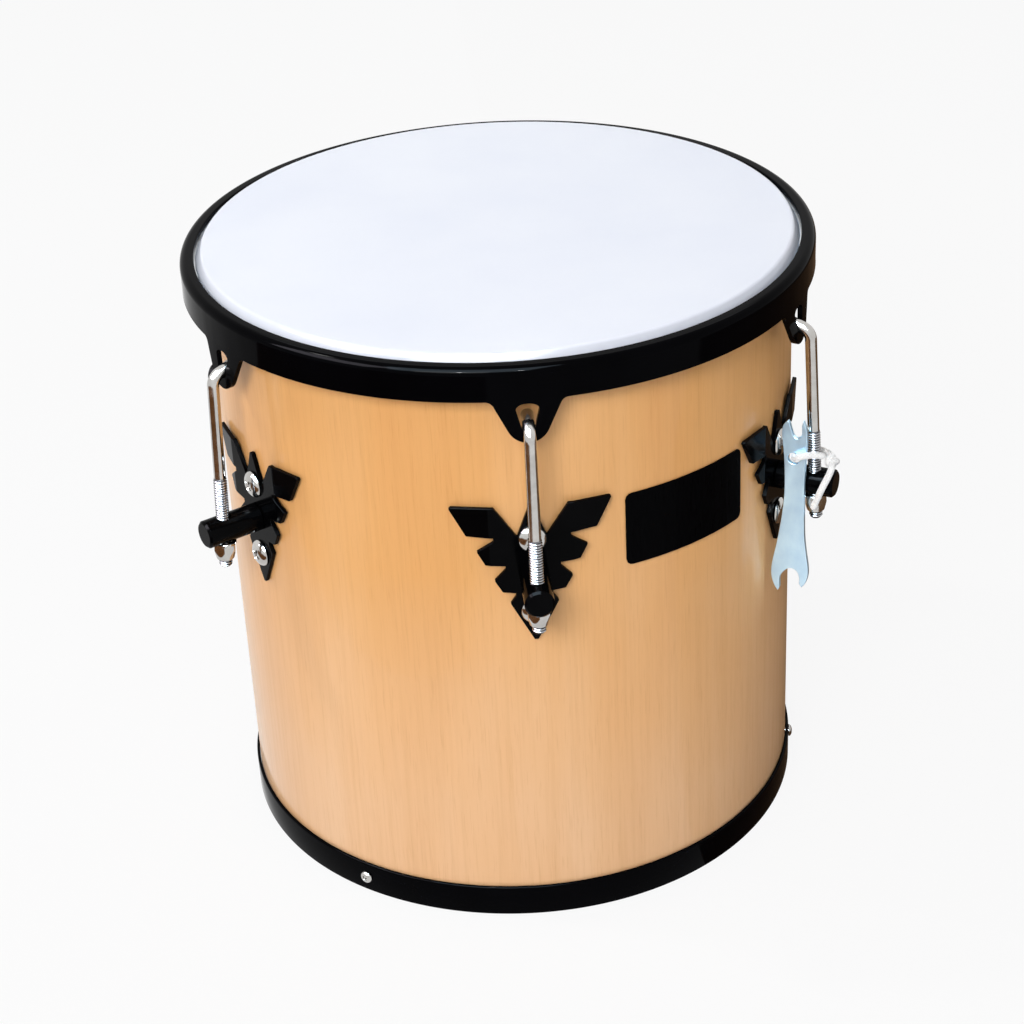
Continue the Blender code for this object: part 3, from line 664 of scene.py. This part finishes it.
def add_lamp(name, at, toward, size, power, colour, spark=False):
    """A rectangular lamp that faces a point. A spark lights nothing and shows as a highlight."""
    data = bpy.data.lights.new(name, "AREA")
    data.shape = "RECTANGLE"
    data.size, data.size_y = size
    data.energy = power
    data.color = colour
    lamp = bpy.data.objects.new(name, data)
    bpy.context.scene.collection.objects.link(lamp)
    aim = (Vector(toward) - Vector(at)).to_track_quat("-Z", "Y")
    lamp.matrix_world = Matrix.Translation(at) @ aim.to_matrix().to_4x4()
    lamp.visible_diffuse = not spark


def add_light():
    """An even pale room, a key, a side lamp and a rim lamp, and four that only draw highlights."""
    world = bpy.data.worlds.new("room")
    bpy.context.scene.world = world
    world.use_nodes = True
    nodes, links = world.node_tree.nodes, world.node_tree.links
    background = nodes["Background"]
    background.inputs["Color"].default_value = (1, 1, 1, 1)
    path = nodes.new("ShaderNodeLightPath").outputs
    seen = path["Is Camera Ray"]
    for ray in ("Is Glossy Ray", "Is Transmission Ray"):
        either = nodes.new("ShaderNodeMath")
        either.operation = "MAXIMUM"
        links.new(seen, either.inputs[0])
        links.new(path[ray], either.inputs[1])
        seen = either.outputs["Value"]
    strength = nodes.new("ShaderNodeMapRange")
    strength.inputs["To Min"].default_value = ROOM_LIGHT
    strength.inputs["To Max"].default_value = ROOM_SEEN
    links.new(seen, strength.inputs["Value"])
    links.new(strength.outputs["Result"], background.inputs["Strength"])
    middle, front, left_front = (0, 0, 0.18), (0, -0.15, 0.3), (-0.13, -0.07, 0.3)
    spark_size, spark_power, white = (0.045, 0.045), 10, (1, 1, 1)
    # name, place, aim, size, watts and colour
    add_lamp("key", (-0.80, -1.97, 1.64), middle, (1.0, 0.8), 38, (1, 0.985, 0.96))
    add_lamp("side", (-1.09, 0.23, 1.90), (0, 0, 0.25), (0.15, 0.15), 9.5, (1, 0.99, 0.97))
    add_lamp("rim", (0.15, 1.1, 1.5), (0, 0, 0.3), (1.4, 0.25), 4, (0.92, 0.96, 1))
    add_lamp("window", (-0.35, -1.05, 1.5), front, (1.3, 1.1), 120, (0.65, 0.84, 1), spark=True)
    add_lamp(
        "left_window", (-1.25, -0.45, 1.3), left_front, (1.1, 0.8), 66, (0.92, 0.88, 1), spark=True
    )
    for name, at in (("left_spark", (-0.48, -1.40, 1.22)), ("right_spark", (0.06, -1.48, 1.22))):
        add_lamp(name, at, front, spark_size, spark_power, white, spark=True)


def add_card(name, corners, colour):
    """A dark card that lies on the floor and shows only in what is polished."""

    def build(bm):
        bm.faces.new([bm.verts.new((x, y, 0)) for x, y in corners])

    card = add_object(name, mesh_of(name, build))
    tree = Tree(name)
    tree.set(Base_Color=(*colour, 1), Roughness=1.0, Specular_IOR_Level=0.0)
    card.data.materials.append(tree.material)
    for kind in ("camera", "diffuse", "transmission", "shadow", "volume_scatter"):
        setattr(card, f"visible_{kind}", False)


def add_floor(finish):
    """The floor, a hair below the drum and the cards."""

    def build(bm):
        bmesh.ops.create_grid(bm, x_segments=8, y_segments=8, size=FLOOR_HALF)

    floor = add_object("floor", mesh_of("floor", build), finish)
    floor.location.z = -FLOOR_DROP


def smooth(points, steps):
    """A Catmull-Rom curve through the points."""
    ends = [points[0] * 2 - points[1], *points, points[-1] * 2 - points[-2]]
    curve = []
    for i in range(1, len(ends) - 2):
        a, b, c, d = ends[i - 1 : i + 3]
        for j in range(steps):
            t = j / steps
            bend = (2 * a - 5 * b + 4 * c - d) * t * t + (3 * b - a - 3 * c + d) * t**3
            curve.append((2 * b + (c - a) * t + bend) / 2)
    return [*curve, points[-1]]


def cord_route():
    """The cord's centreline from where its rod crosses the post, as (out, along, up) in mm."""
    return [
        (5.3, -6.2, 17.0), (3.2, -8.2, 18.0), (0.8, -10.0, 18.4), (-1.9, -11.6, 18.3),
        (-4.8, -12.2, 17.3), (-6.8, -10.4, 15.9), (-7.4, -7.4, 14.9), (-7.1, -3.6, 14.1),
        (-6.5, 0.6, 13.4), (-4.7, 4.6, 12.9), (-1.0, 6.9, 12.6), (3.2, 6.2, 12.5),
        (6.6, 2.6, 12.6), (8.6, -2.2, 12.7), (10.1, -6.4, 12.1), (9.6, -9.6, 9.0),
        (7.7, -11.4, 4.2), (5.6, -12.0, -1.4), (3.4, -11.8, -7.5),
    ]


def tube(name, line, radius, sides, closed=False):
    """A round tube along a line, with its length and its turn as UVs.

    Its ends are rounded unless it is closed.
    """
    headings = []
    for i, at in enumerate(line):
        after = line[(i + 1) % len(line)] if closed or i + 1 < len(line) else at
        before = line[i - 1] if closed or i else at
        headings.append((after - before).normalized())
    side = headings[0].orthogonal().normalized()
    stations = []
    travelled = 0.0
    for i, (at, heading) in enumerate(zip(line, headings)):
        side = (side - heading * side.dot(heading)).normalized()
        if i:
            travelled += (at - line[i - 1]).length
        stations.append((at, side, heading.cross(side), radius, travelled))
    if not closed:
        for end, way in ((0, -1), (-1, 1)):
            at, a, b, _, length = stations[end]
            for lift, share in ((0.45, 0.85), (0.75, 0.5)):
                past = way * radius * lift
                ring = (at + headings[end] * past, a, b, radius * share, length + past)
                stations.insert(0 if end == 0 else len(stations), ring)

    def build(bm):
        layer = bm.loops.layers.uv.new("UVMap")
        angles = [math.tau * j / sides for j in range(sides)]
        turns = [(math.cos(t), math.sin(t)) for t in angles]
        made = []
        for at, a, b, size, _ in stations:
            made.append([bm.verts.new(at + (a * c + b * s) * size) for c, s in turns])
        rows = len(made)
        for i in range(rows if closed else rows - 1):
            far = (i + 1) % rows
            for j in range(sides):
                k = (j + 1) % sides
                face = bm.faces.new((made[i][j], made[i][k], made[far][k], made[far][j]))
                low, high = stations[i][4], stations[far][4]
                if closed and far == 0:
                    high = travelled + (line[0] - line[-1]).length
                corners = ((low, j), (low, j + 1), (high, j + 1), (high, j))
                for loop, (along, around) in zip(face.loops, corners):
                    loop[layer].uv = (along, around / sides)
        if not closed:
            bm.faces.new(made[0])
            bm.faces.new(made[-1])

    return mesh_of(name, build)


def add_cord(finish):
    """The cord that ties the spanner to its rod, with a small overhand knot before its tail."""
    to_world = lug_matrix(SPANNER_LUG, (0, -rod_out, post_z))
    route = [to_world @ (Vector((t, -out, up)) * MM) for out, t, up in cord_route()]
    line = smooth(route, steps=5)
    cord = add_object("cord", tube("cord", line, CORD_R, sides=16), finish)
    stand_in(cord, "spanner_cord", DRUM)
    heading = (route[KNOT_POINT + 1] - route[KNOT_POINT - 1]).normalized()
    turn = heading.to_track_quat("Z", "Y").to_matrix().to_4x4()
    loop = []
    for i in range(KNOT_POINTS):
        t = math.tau * i / KNOT_POINTS
        wide, high = KNOT_WIDE * (2 + math.cos(3 * t)), KNOT_HIGH * math.sin(3 * t)
        loop.append(Vector((wide * math.cos(2 * t), wide * math.sin(2 * t), high)))
    place = Matrix.Translation(route[KNOT_POINT]) @ turn
    mesh = tube("knot", loop, KNOT_STRAND_R, sides=12, closed=True)
    knot = add_object("knot", mesh, finish, place)
    stand_in(knot, "cord_knot", DRUM)


def add_shell(lacquer, raw, edge):
    """The shell with its bearing edge: a flat, rounded outside and bevelled inside."""
    flat_r = shell_r - EDGE_ROUND
    bevel = SHELL_WALL - EDGE_ROUND - EDGE_FLAT
    profile = [(flat_r - EDGE_FLAT, shell_h)]
    profile += arc((flat_r, shell_h - EDGE_ROUND), EDGE_ROUND, 90, 0, steps=8)
    profile += [(shell_r, shell_h * share) for share in (0.66, 0.33)]  # keeps the faces short
    profile += arc((shell_r - RIM_ROUND, RIM_ROUND), RIM_ROUND, 0, -90, steps=3)
    profile += arc((shell_in_r + RIM_ROUND, RIM_ROUND), RIM_ROUND, -90, -180, steps=3)
    profile += [(shell_in_r, shell_h * 0.5), (shell_in_r, shell_h - bevel)]
    mesh = turned("drum_shell", profile)
    finishes = (lacquer, raw, edge)
    for finish in finishes:
        mesh.materials.append(finish)
    for face in mesh.polygons:
        flat = Vector((face.center.x, face.center.y, 0))
        if abs(face.normal.z) > 0.5:
            face.material_index = finishes.index(edge)
        elif face.normal.dot(flat) < 0:
            face.material_index = finishes.index(raw)
    stand_in(add_object("drum_shell", mesh), "shell", DRUM)


def add_head(finish):
    """The film: it wraps the bearing edge, slopes down the collar and ends in the flesh hoop."""

    def face(off, hem_r):
        points = [(r, shell_h + off) for r in FILM_RINGS]
        centre = (shell_r - EDGE_ROUND, shell_h - EDGE_ROUND)
        points += arc(centre, EDGE_ROUND + off, 90, 90 - math.degrees(COLLAR_SLOPE), steps=8)
        out, up = points[-1]
        low = up - (hem_r - out) * math.tan(COLLAR_SLOPE)
        points += [(hem_r - HEM_BEND_IN, low + HEM_BEND_UP), (hem_r, low - HEM_BEND_DOWN)]
        return [*points, (hem_r, film_bottom)]

    upper = face(GAP + FILM_T, film_r)
    lower = face(GAP, film_r - FILM_T)
    mesh = turned("head", [*upper, *reversed(lower)], sharp=60)
    head = add_object("head", mesh, finish)
    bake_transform(head)
    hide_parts("head_film")


def hoop_edge():
    """Half an ear's lower edge, from its tip to the skirt: (distance round the hoop, height)."""
    tip_z = ear_bottom + EAR_TIP_R
    side = Vector((math.sin(EAR_FLARE), math.cos(EAR_FLARE)))
    off = Vector((math.cos(EAR_FLARE), -math.sin(EAR_FLARE)))
    points = arc((0, tip_z), EAR_TIP_R, -90, -math.degrees(EAR_FLARE), steps=9)
    start = Vector(points[-1])
    centre_z = skirt_bottom - EAR_FILLET
    run = (centre_z - start.y - off.y * EAR_FILLET) / side.y
    centre = start + side * run + off * EAR_FILLET
    points.append(tuple(start + side * run / 2))
    points += arc(centre, EAR_FILLET, 180 - math.degrees(EAR_FLARE), 90, steps=8)
    return points


def add_counterhoop(finish):
    """The pressed hoop: a lip over the flesh hoop, a rounded shoulder and a skirt with six ears.

    The ears are bent a little outwards.
    """
    half = [(s / hoop_out_r, z) for s, z in hoop_edge()]
    last = half[-1][0]
    steps = 14
    step = (lug_turn / 2 - last) / steps
    half += [(last + step * (i + 1), skirt_bottom) for i in range(steps)]
    segment = [(-a, z) for a, z in reversed(half[1:])][1:] + half
    columns = [(a + k * lug_turn, z) for k in range(LUGS) for a, z in segment]
    upper = [(skirt_in_r, hoop_top - HOOP_T), (lip_r, hoop_top - HOOP_T)]
    upper += arc((lip_r + LIP_ROUND, hoop_top - LIP_ROUND), LIP_ROUND, 180, 90, steps=4)
    upper += arc((hoop_out_r - HOOP_ROUND, hoop_top - HOOP_ROUND), HOOP_ROUND, 90, 0, steps=10)

    def build(bm):
        rings = []
        for turn, low in columns:
            kick = EAR_KICK * (ear_bend_z - low) / (ear_bend_z - ear_bottom)
            section = [
                *upper,
                (hoop_out_r, ear_bend_z),
                (hoop_out_r + kick, low),
                (skirt_in_r + kick, low),
                (skirt_in_r, ear_bend_z),
            ]
            rings.append([outward(turn) * r + Vector((0, 0, z)) for r, z in section])
        skin(bm, rings, loop=True)

    hoop = add_object("hoop_blank", mesh_of("hoop_blank", build))
    slots = ear_slots()
    cut(hoop, slots)
    made = add_object("tension_hoop", applied(hoop, [slots], "tension_hoop"), finish)
    soften(made, HOOP_SOFT, segments=2, angle=40)
    stand_in(made, "counterhoop", HOOP)


def ear_slots():
    """The cutter of the keystone slots that the hooks pass through."""
    low_r = ROD_R + 2 * GAP
    low_z = ear_bottom + EAR_SLOT_FLOOR + low_r
    shoulder = hook_z + EAR_SLOT_RISE - EAR_SLOT_ROUND
    outline = arc((0, low_z), low_r, 180, 360, steps=12)
    for x, z in arc((0, 0), 1, 0, 180, steps=12):
        outline.append((EAR_SLOT_HALF * x, shoulder + EAR_SLOT_ROUND * z))

    def build(bm):
        for k in range(LUGS):
            turn = Matrix.Rotation(k * lug_turn, 3, "Z")
            rings = []
            for out in (skirt_in_r - HOOP_T, hoop_out_r + HOOP_T):
                rings.append([turn @ Vector((x, -out, z)) for x, z in outline])
            skin(bm, rings)

    return add_object("ear_slots", mesh_of("ear_slots", build))


def add_band(finish):
    """The band round the open end, with a rounded upper edge."""
    inner, top_r, foot_r = band_out_r - BAND_T, BAND_TOP_ROUND, BAND_FOOT_ROUND
    profile = [(inner, band_top - BAND_TOP_BREAK), (inner + BAND_TOP_BREAK, band_top)]
    profile += arc((band_out_r - top_r, band_top - top_r), top_r, 90, 0, steps=6)
    profile += [(band_out_r, band_top / 2)]
    profile += arc((band_out_r - foot_r, foot_r), foot_r, 0, -90, steps=4)
    profile += [(inner, 0)]
    band = add_object("band", turned("band", profile), finish)
    stand_in(band, "bottom_band", DRUM)


def thread_radius(along, turn):
    """The radius of a right-hand thread this far along it and this far round it."""
    phase = (along / THREAD_PITCH - turn / math.tau) % 1
    flat_crest = 1.25
    height = min(1.0, flat_crest * (1 - abs(2 * phase - 1)))
    return THREAD_R - THREAD_DEPTH * (1 - height)


def hook_mesh(plain, threaded):
    """A rod with a rolled thread below, bent in and up through the ear above.

    Its origin is where it crosses the post.
    """
    sides, steps_per_turn, bend_steps = 24, 8, 14
    side = Vector((1, 0, 0))
    rows = []

    def row(at, heading, radii):
        up = side.cross(heading)
        ring = []
        for j, radius in enumerate(radii):
            a = math.tau * j / sides
            ring.append(at + side * (math.cos(a) * radius) + up * (math.sin(a) * radius))
        rows.append(ring)

    start, end = -ROD_BELOW_POST, THREAD_ABOVE_POST
    row(rod_lean * start, rod_lean, [THREAD_R - ROD_CHAMFER] * sides)
    count = int((end - start) / THREAD_PITCH * steps_per_turn)
    for i in range(1, count):
        along = start + (end - start) * i / count
        taper = min(1.0, (along - start) / ROD_CHAMFER, (end - along) / THREAD_PITCH)
        radii = []
        for j in range(sides):
            radius = thread_radius(along, math.tau * j / sides)
            low = THREAD_R - ROD_CHAMFER if along < 0 else ROD_R
            radii.append(min(radius, low + (radius - low) * taper))
        row(rod_lean * along, rod_lean, radii)
    row(rod_lean * end, rod_lean, [ROD_R] * sides)
    leg = Vector((0, math.cos(HOOK_RISE), math.sin(HOOK_RISE)))
    across = Vector((0, math.cos(ROD_LEAN), -math.sin(ROD_LEAN)))
    bend = math.pi / 2 - ROD_LEAN - HOOK_RISE
    rise = math.tan(HOOK_RISE)
    leg_z_at_rod = hook_z - post_z - (rod_out - slot_out) * rise
    corner = rod_lean * (leg_z_at_rod / (rod_lean.z - rod_lean.y * rise))
    centre = corner - rod_lean * HOOK_BEND_R * math.tan(bend / 2) + across * HOOK_BEND_R
    for i in range(bend_steps + 1):
        a = bend * i / bend_steps
        at = centre - across * HOOK_BEND_R * math.cos(a) + rod_lean * HOOK_BEND_R * math.sin(a)
        row(at, across * math.sin(a) + rod_lean * math.cos(a), [ROD_R] * sides)
    tip_y = rod_out - (skirt_in_r - HOOK_REACH)
    tip = corner + leg * ((tip_y - corner.y) / leg.y)
    for back, share in ((0.7, 1.0), (0.25, 0.93), (0, 0.72)):  # the tip's edge, back in mm
        row(tip - leg * back * MM, leg, [ROD_R * share] * sides)
    mesh = mesh_of("hook", lambda bm: skin(bm, rows), sharp=50)
    for finish in (plain, threaded):
        mesh.materials.append(finish)
    for face in mesh.polygons:
        face.material_index = int(face.center.dot(rod_lean) < end)
    return mesh


def post_mesh():
    """A round bar with a chamfered end, a bore for the rod and a flat spot under it for the nut."""
    root = plate_front + GAP - rod_out
    reach = post_out - rod_out
    end_r = POST_R - POST_CHAMFER
    profile = [(POST_R - POST_ROOT_BREAK, root), (POST_R, root + POST_ROOT_BREAK)]
    profile += [(POST_R, reach - POST_CHAMFER), (end_r, reach)]
    profile += [(end_r - POST_END_RIM, reach), (POST_END_CORE_R, reach)]
    blank = add_object("post_blank", capped("post_blank", profile), None, facing_out)
    below = rod_lean * -3 * POST_R
    seat = rod_lean * (SPOT_DEPTH - POST_R)
    spot = rod_cutter("post_spot", below, seat, NUT_FLANGE_R + GAP, sides=48)
    bore = rod_cutter("post_bore", below, rod_lean * 2 * POST_R, BORE_R, sides=32)
    cut(blank, spot)
    cut(blank, bore)
    bpy.context.view_layer.update()
    mesh = applied(blank, [spot, bore], "post")
    mesh.transform(facing_out)
    return mesh


def hex_radius(flats, turn):
    """How far a hexagon of this width across its flats reaches at this turn."""
    off = (turn + math.pi / 6) % (math.pi / 3) - math.pi / 6
    return flats / 2 / math.cos(off)


def nut_mesh(name, flange_r, flange_h, flats, height, taper_h, tip_r, bore_r):
    """A flanged hexagon nut that hangs down from its seat at the origin and tapers to its tip."""
    sides = 72
    turns = [math.tau * j / sides for j in range(sides)]
    edge = NUT_EDGE

    def ring(z, radius_at):
        return [Vector((radius_at(a) * math.cos(a), radius_at(a) * math.sin(a), z)) for a in turns]

    def turned_down(z):
        """The hexagon, cut back by the cone of its tapered end."""
        corner = flats / 2 / math.cos(math.pi / 6)
        cone = tip_r + (corner - tip_r) * (z + height) / taper_h
        return ring(z, lambda a: min(hex_radius(flats, a), cone))

    def build(bm):
        rings = [ring(0, lambda a: bore_r), ring(0, lambda a: flange_r - edge)]
        rings += [ring(-edge, lambda a: flange_r), ring(-flange_h + edge, lambda a: flange_r)]
        rings += [ring(-flange_h, lambda a: min(flange_r - edge, hex_radius(flats, a) + edge))]
        rings += [ring(-flange_h - edge, lambda a: hex_radius(flats, a) - NUT_FLAT_EASE)]
        for share in (1, 0.85, 0.7, 0.55, 0.4, 0.2, 0):
            rings.append(turned_down(-height + taper_h * share))
        rings += [ring(-height + NUT_MOUTH, lambda a: bore_r)]
        skin(bm, rings, loop=True)

    return mesh_of(name, build, sharp=32)


def cross_recess(name, head_h, long, wide, depth):
    """The cutter of a cross recess, tapered towards its bottom."""
    arm = [(long, -wide), (long, wide), (wide, wide)]
    above = 0.5 * MM

    def build(bm):
        rings = []
        for z, share in ((head_h - depth, 0.55), (head_h + above, 1.1)):
            ring = []
            for quarter in range(4):
                spin = Matrix.Rotation(quarter * math.pi / 2, 3, "Z")
                ring += [spin @ Vector((x * share, y * share, z)) for x, y in arm]
            rings.append(ring)
        skin(bm, rings)

    return add_object(name, mesh_of(name, build))


def screw_mesh(name, head_r, head_h, shank_r, length, cross):
    """A pan head with a cross recess above the origin and a plain shank below."""
    tip_break = 0.3 * shank_r
    dome = [math.radians(degrees) for degrees in (8, 20, 32, 44, 56, 68, 80)]
    fullness = 0.8  # a dome's shoulder fills out as this goes down
    profile = [(shank_r - tip_break, -length), (shank_r, -length + tip_break), (shank_r, 0)]
    profile += [(head_r - SCREW_RIM_BREAK, 0)]
    for a in dome:
        rise = math.sin(a) / math.sin(dome[-1])
        profile.append((head_r * math.cos(a) ** fullness, head_h * rise))
    blank = add_object(name + "_blank", capped(name, profile, SCREW_STEPS))
    tool = cross_recess(name + "_cross", head_h, *cross)
    cut(blank, tool)
    mesh = applied(blank, [tool], name)
    mesh.set_sharp_from_angle(angle=math.radians(HARD_DEGREES))
    return mesh


def inner_nut_seat():
    """How far from the axis the inner nuts' flanges lie against the shell."""
    return math.sqrt(shell_in_r**2 - INNER_FLANGE_R**2) - GAP


def coat(node, finish):
    """Gives its finish to a CAD piece that shows as it is."""
    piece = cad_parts[node]
    piece.data.materials.clear()
    piece.data.materials.append(finish)
    return piece


def finish_plates(finish):
    """Coats the plates and softens their edges."""
    for k in range(LUGS):
        plate = coat(f"lug_plate_{k}", finish)
        weld = plate.modifiers.new("weld", "WELD")
        weld.merge_threshold = PLATE_WELD
        soften(plate, PLATE_SOFT, segments=2, angle=8)


def add_lugs(black, bright, threaded, zinc_plate):
    """The posts, hooks, tuning nuts, plate screws and inner nuts of all lugs."""
    crossing = Vector((0, -rod_out, post_z))
    seat = crossing - rod_lean * (POST_R - SPOT_DEPTH + GAP)
    lean = Matrix.Rotation(-ROD_LEAN, 4, "X")
    post, hook = post_mesh(), hook_mesh(bright, threaded)
    nut = nut_mesh(
        "tuning_nut", NUT_FLANGE_R, NUT_FLANGE_H, NUT_FLATS, NUT_H,
        taper_h=NUT_TAPER_H, tip_r=BORE_R + NUT_TIP_WALL, bore_r=BORE_R,
    )
    inner_nut = nut_mesh(
        "inner_nut", INNER_FLANGE_R, INNER_FLANGE_H, INNER_FLATS, INNER_NUT_H,
        taper_h=INNER_TAPER_H, tip_r=INNER_FLATS / 2, bore_r=SCREW_R + GAP,
    )
    shank = plate_front - inner_nut_seat() + INNER_NUT_H + SCREW_PAST_NUT
    screw = screw_mesh("plate_screw", SCREW_HEAD_R, SCREW_HEAD_H, SCREW_R, shank, SCREW_CROSS)
    for k in range(LUGS):
        made = add_object(f"post_{k}", post, black, lug_matrix(k, crossing))
        soften(made, POST_SOFT, segments=2, angle=HARD_DEGREES)
        stand_in(made, f"lug_post_{k}", DRUM)
        made = add_object(f"hook_{k}", hook, None, lug_matrix(k, crossing))
        stand_in(made, f"tension_hook_{k}", HOOP)
        made = add_object(f"nut_{k}", nut, bright, lug_matrix(k, seat, lean))
        stand_in(made, f"tuning_nut_{k}", f"nut_{k}")
        for side, up in (("upper", UPPER_SCREW_UP), ("lower", -LOWER_SCREW_DOWN)):
            turned_by = 0.7 * k + 40 * up  # each screw stopped at another turn
            facing = facing_out @ Matrix.Rotation(turned_by, 4, "Z")
            place = lug_matrix(k, (0, -plate_front - GAP, post_z + up), facing)
            made = add_object(f"{side}_plate_screw_{k}", screw, bright, place)
            stand_in(made, f"{side}_screw_{k}", DRUM)
            place = lug_matrix(k, (0, -inner_nut_seat(), post_z + up), facing)
            made = add_object(f"{side}_nut_{k}", inner_nut, zinc_plate, place)
            stand_in(made, f"{side}_inner_nut_{k}", DRUM)


def add_band_screws(finish):
    mesh = screw_mesh(
        "band_screw", BAND_SCREW_HEAD_R, BAND_SCREW_HEAD_H, BAND_SCREW_R, BAND_SCREW_LENGTH,
        BAND_SCREW_CROSS,
    )
    for i in range(BAND_SCREWS):
        turn = Matrix.Rotation(BAND_SCREW_TURN + math.tau * i / BAND_SCREWS, 4, "Z")
        at = Matrix.Translation((0, -band_out_r - GAP, BAND_SCREW_Z)) @ facing_out
        stopped = Matrix.Rotation(0.6 + i, 4, "Z")
        made = add_object(f"band_fixing_{i}", mesh, finish, turn @ at @ stopped)
        stand_in(made, f"band_screw_{i}", DRUM)


def spanner_outline():
    """The spanner's outline as (out from the drum, up), in millimetres from its cord hole."""
    jaw, middle = (NUT_FLATS / 2 + JAW_FIT) / MM, JAW_MIDDLE / MM
    inner_side = [
        (-3.1, 19.3), (-5.4, 16.4), (-5.8, 11.5), (-5.0, 3), (-4.3, -10), (-4.5, -22), (-5.9, -35),
        (-7.8, -47), (-10.0, -58.5), (-10.3, -65), (-9.0, -70), (-6.9, -73.4),
    ]
    mouth = [  # as (share of half the jaw's width, up)
        (-1, -71.4), (-1, -66.2), (-0.75, -63.2), (-0.25, -60.4),
        (0.25, -59.6), (0.75, -60.9), (1, -63.8), (1, -67.4),
    ]
    lower_jaw = [(middle + share * jaw, up) for share, up in mouth]
    outer_side = [
        (4.9, -69.4), (6.7, -66.8), (7.9, -62.5), (7.9, -57.5), (6.7, -49), (5.8, -40), (5.5, -27),
        (5.4, -13), (5.8, 0), (6.3, 8), (6.1, 15), (4.4, 20.4),
    ]
    upper_jaw = [
        (3.7, 17.4), (3.8, 13.6), (2.9, 11.4), (1.2, 10.7),
        (-0.3, 11.8), (-1.4, 14.8), (-2.2, 17.8),
    ]
    points = []
    for group in (inner_side, lower_jaw, outer_side, upper_jaw):
        points += smooth([Vector(p) for p in group], steps=6)
    return [p * MM for p in points]


def add_spanner(finish):
    """The flat spanner with its edges rolled over by stamping."""
    near = POST_R + SPANNER_GAP
    at = Vector((-near - SPANNER_T / 2, SPANNER_HOLE_IN - rod_out, post_z + SPANNER_HOLE_UP))
    outline = spanner_outline()

    def build(bm):
        half = SPANNER_T / 2
        skin(bm, [[Vector((x, -p.x, p.y)) for p in outline] for x in (-half, half)])

    blank = add_object("spanner_blank", mesh_of("spanner_blank", build))
    sideways = Vector((SPANNER_T, 0, 0))
    hole = rod_cutter("spanner_hole", -sideways, sideways, SPANNER_HOLE_R, sides=32)
    cut(blank, hole)
    mesh = applied(blank, [hole], "flat_spanner")
    made = add_object("flat_spanner", mesh, finish, lug_matrix(SPANNER_LUG, at))
    soften(made, SPANNER_EDGE, segments=3, angle=50)
    stand_in(made, "spanner", "spanner")


def main():
    bpy.context.scene.view_settings.view_transform = "Standard"
    add_camera()
    add_cord(cotton())
    add_light()
    add_floor(pale_floor())
    add_card("warm_card", WARM_CARD, WARM_CARD_COLOUR)
    add_card("dark_card", DARK_CARD, DARK_CARD_COLOUR)
    black, satin, bright, zinc_plate = gloss_black(), satin_black(), chrome(), zinc()
    add_shell(lacquered_wood(), raw_wood(), ply_edge())
    add_head(white_film())
    add_counterhoop(black)
    coat("flesh_hoop", aluminium())
    add_band(black)
    add_band_screws(bright)
    finish_plates(satin)
    add_lugs(satin, bright, threaded_chrome(), zinc_plate)
    coat("badge", badge_black())
    add_spanner(zinc_plate)


main()
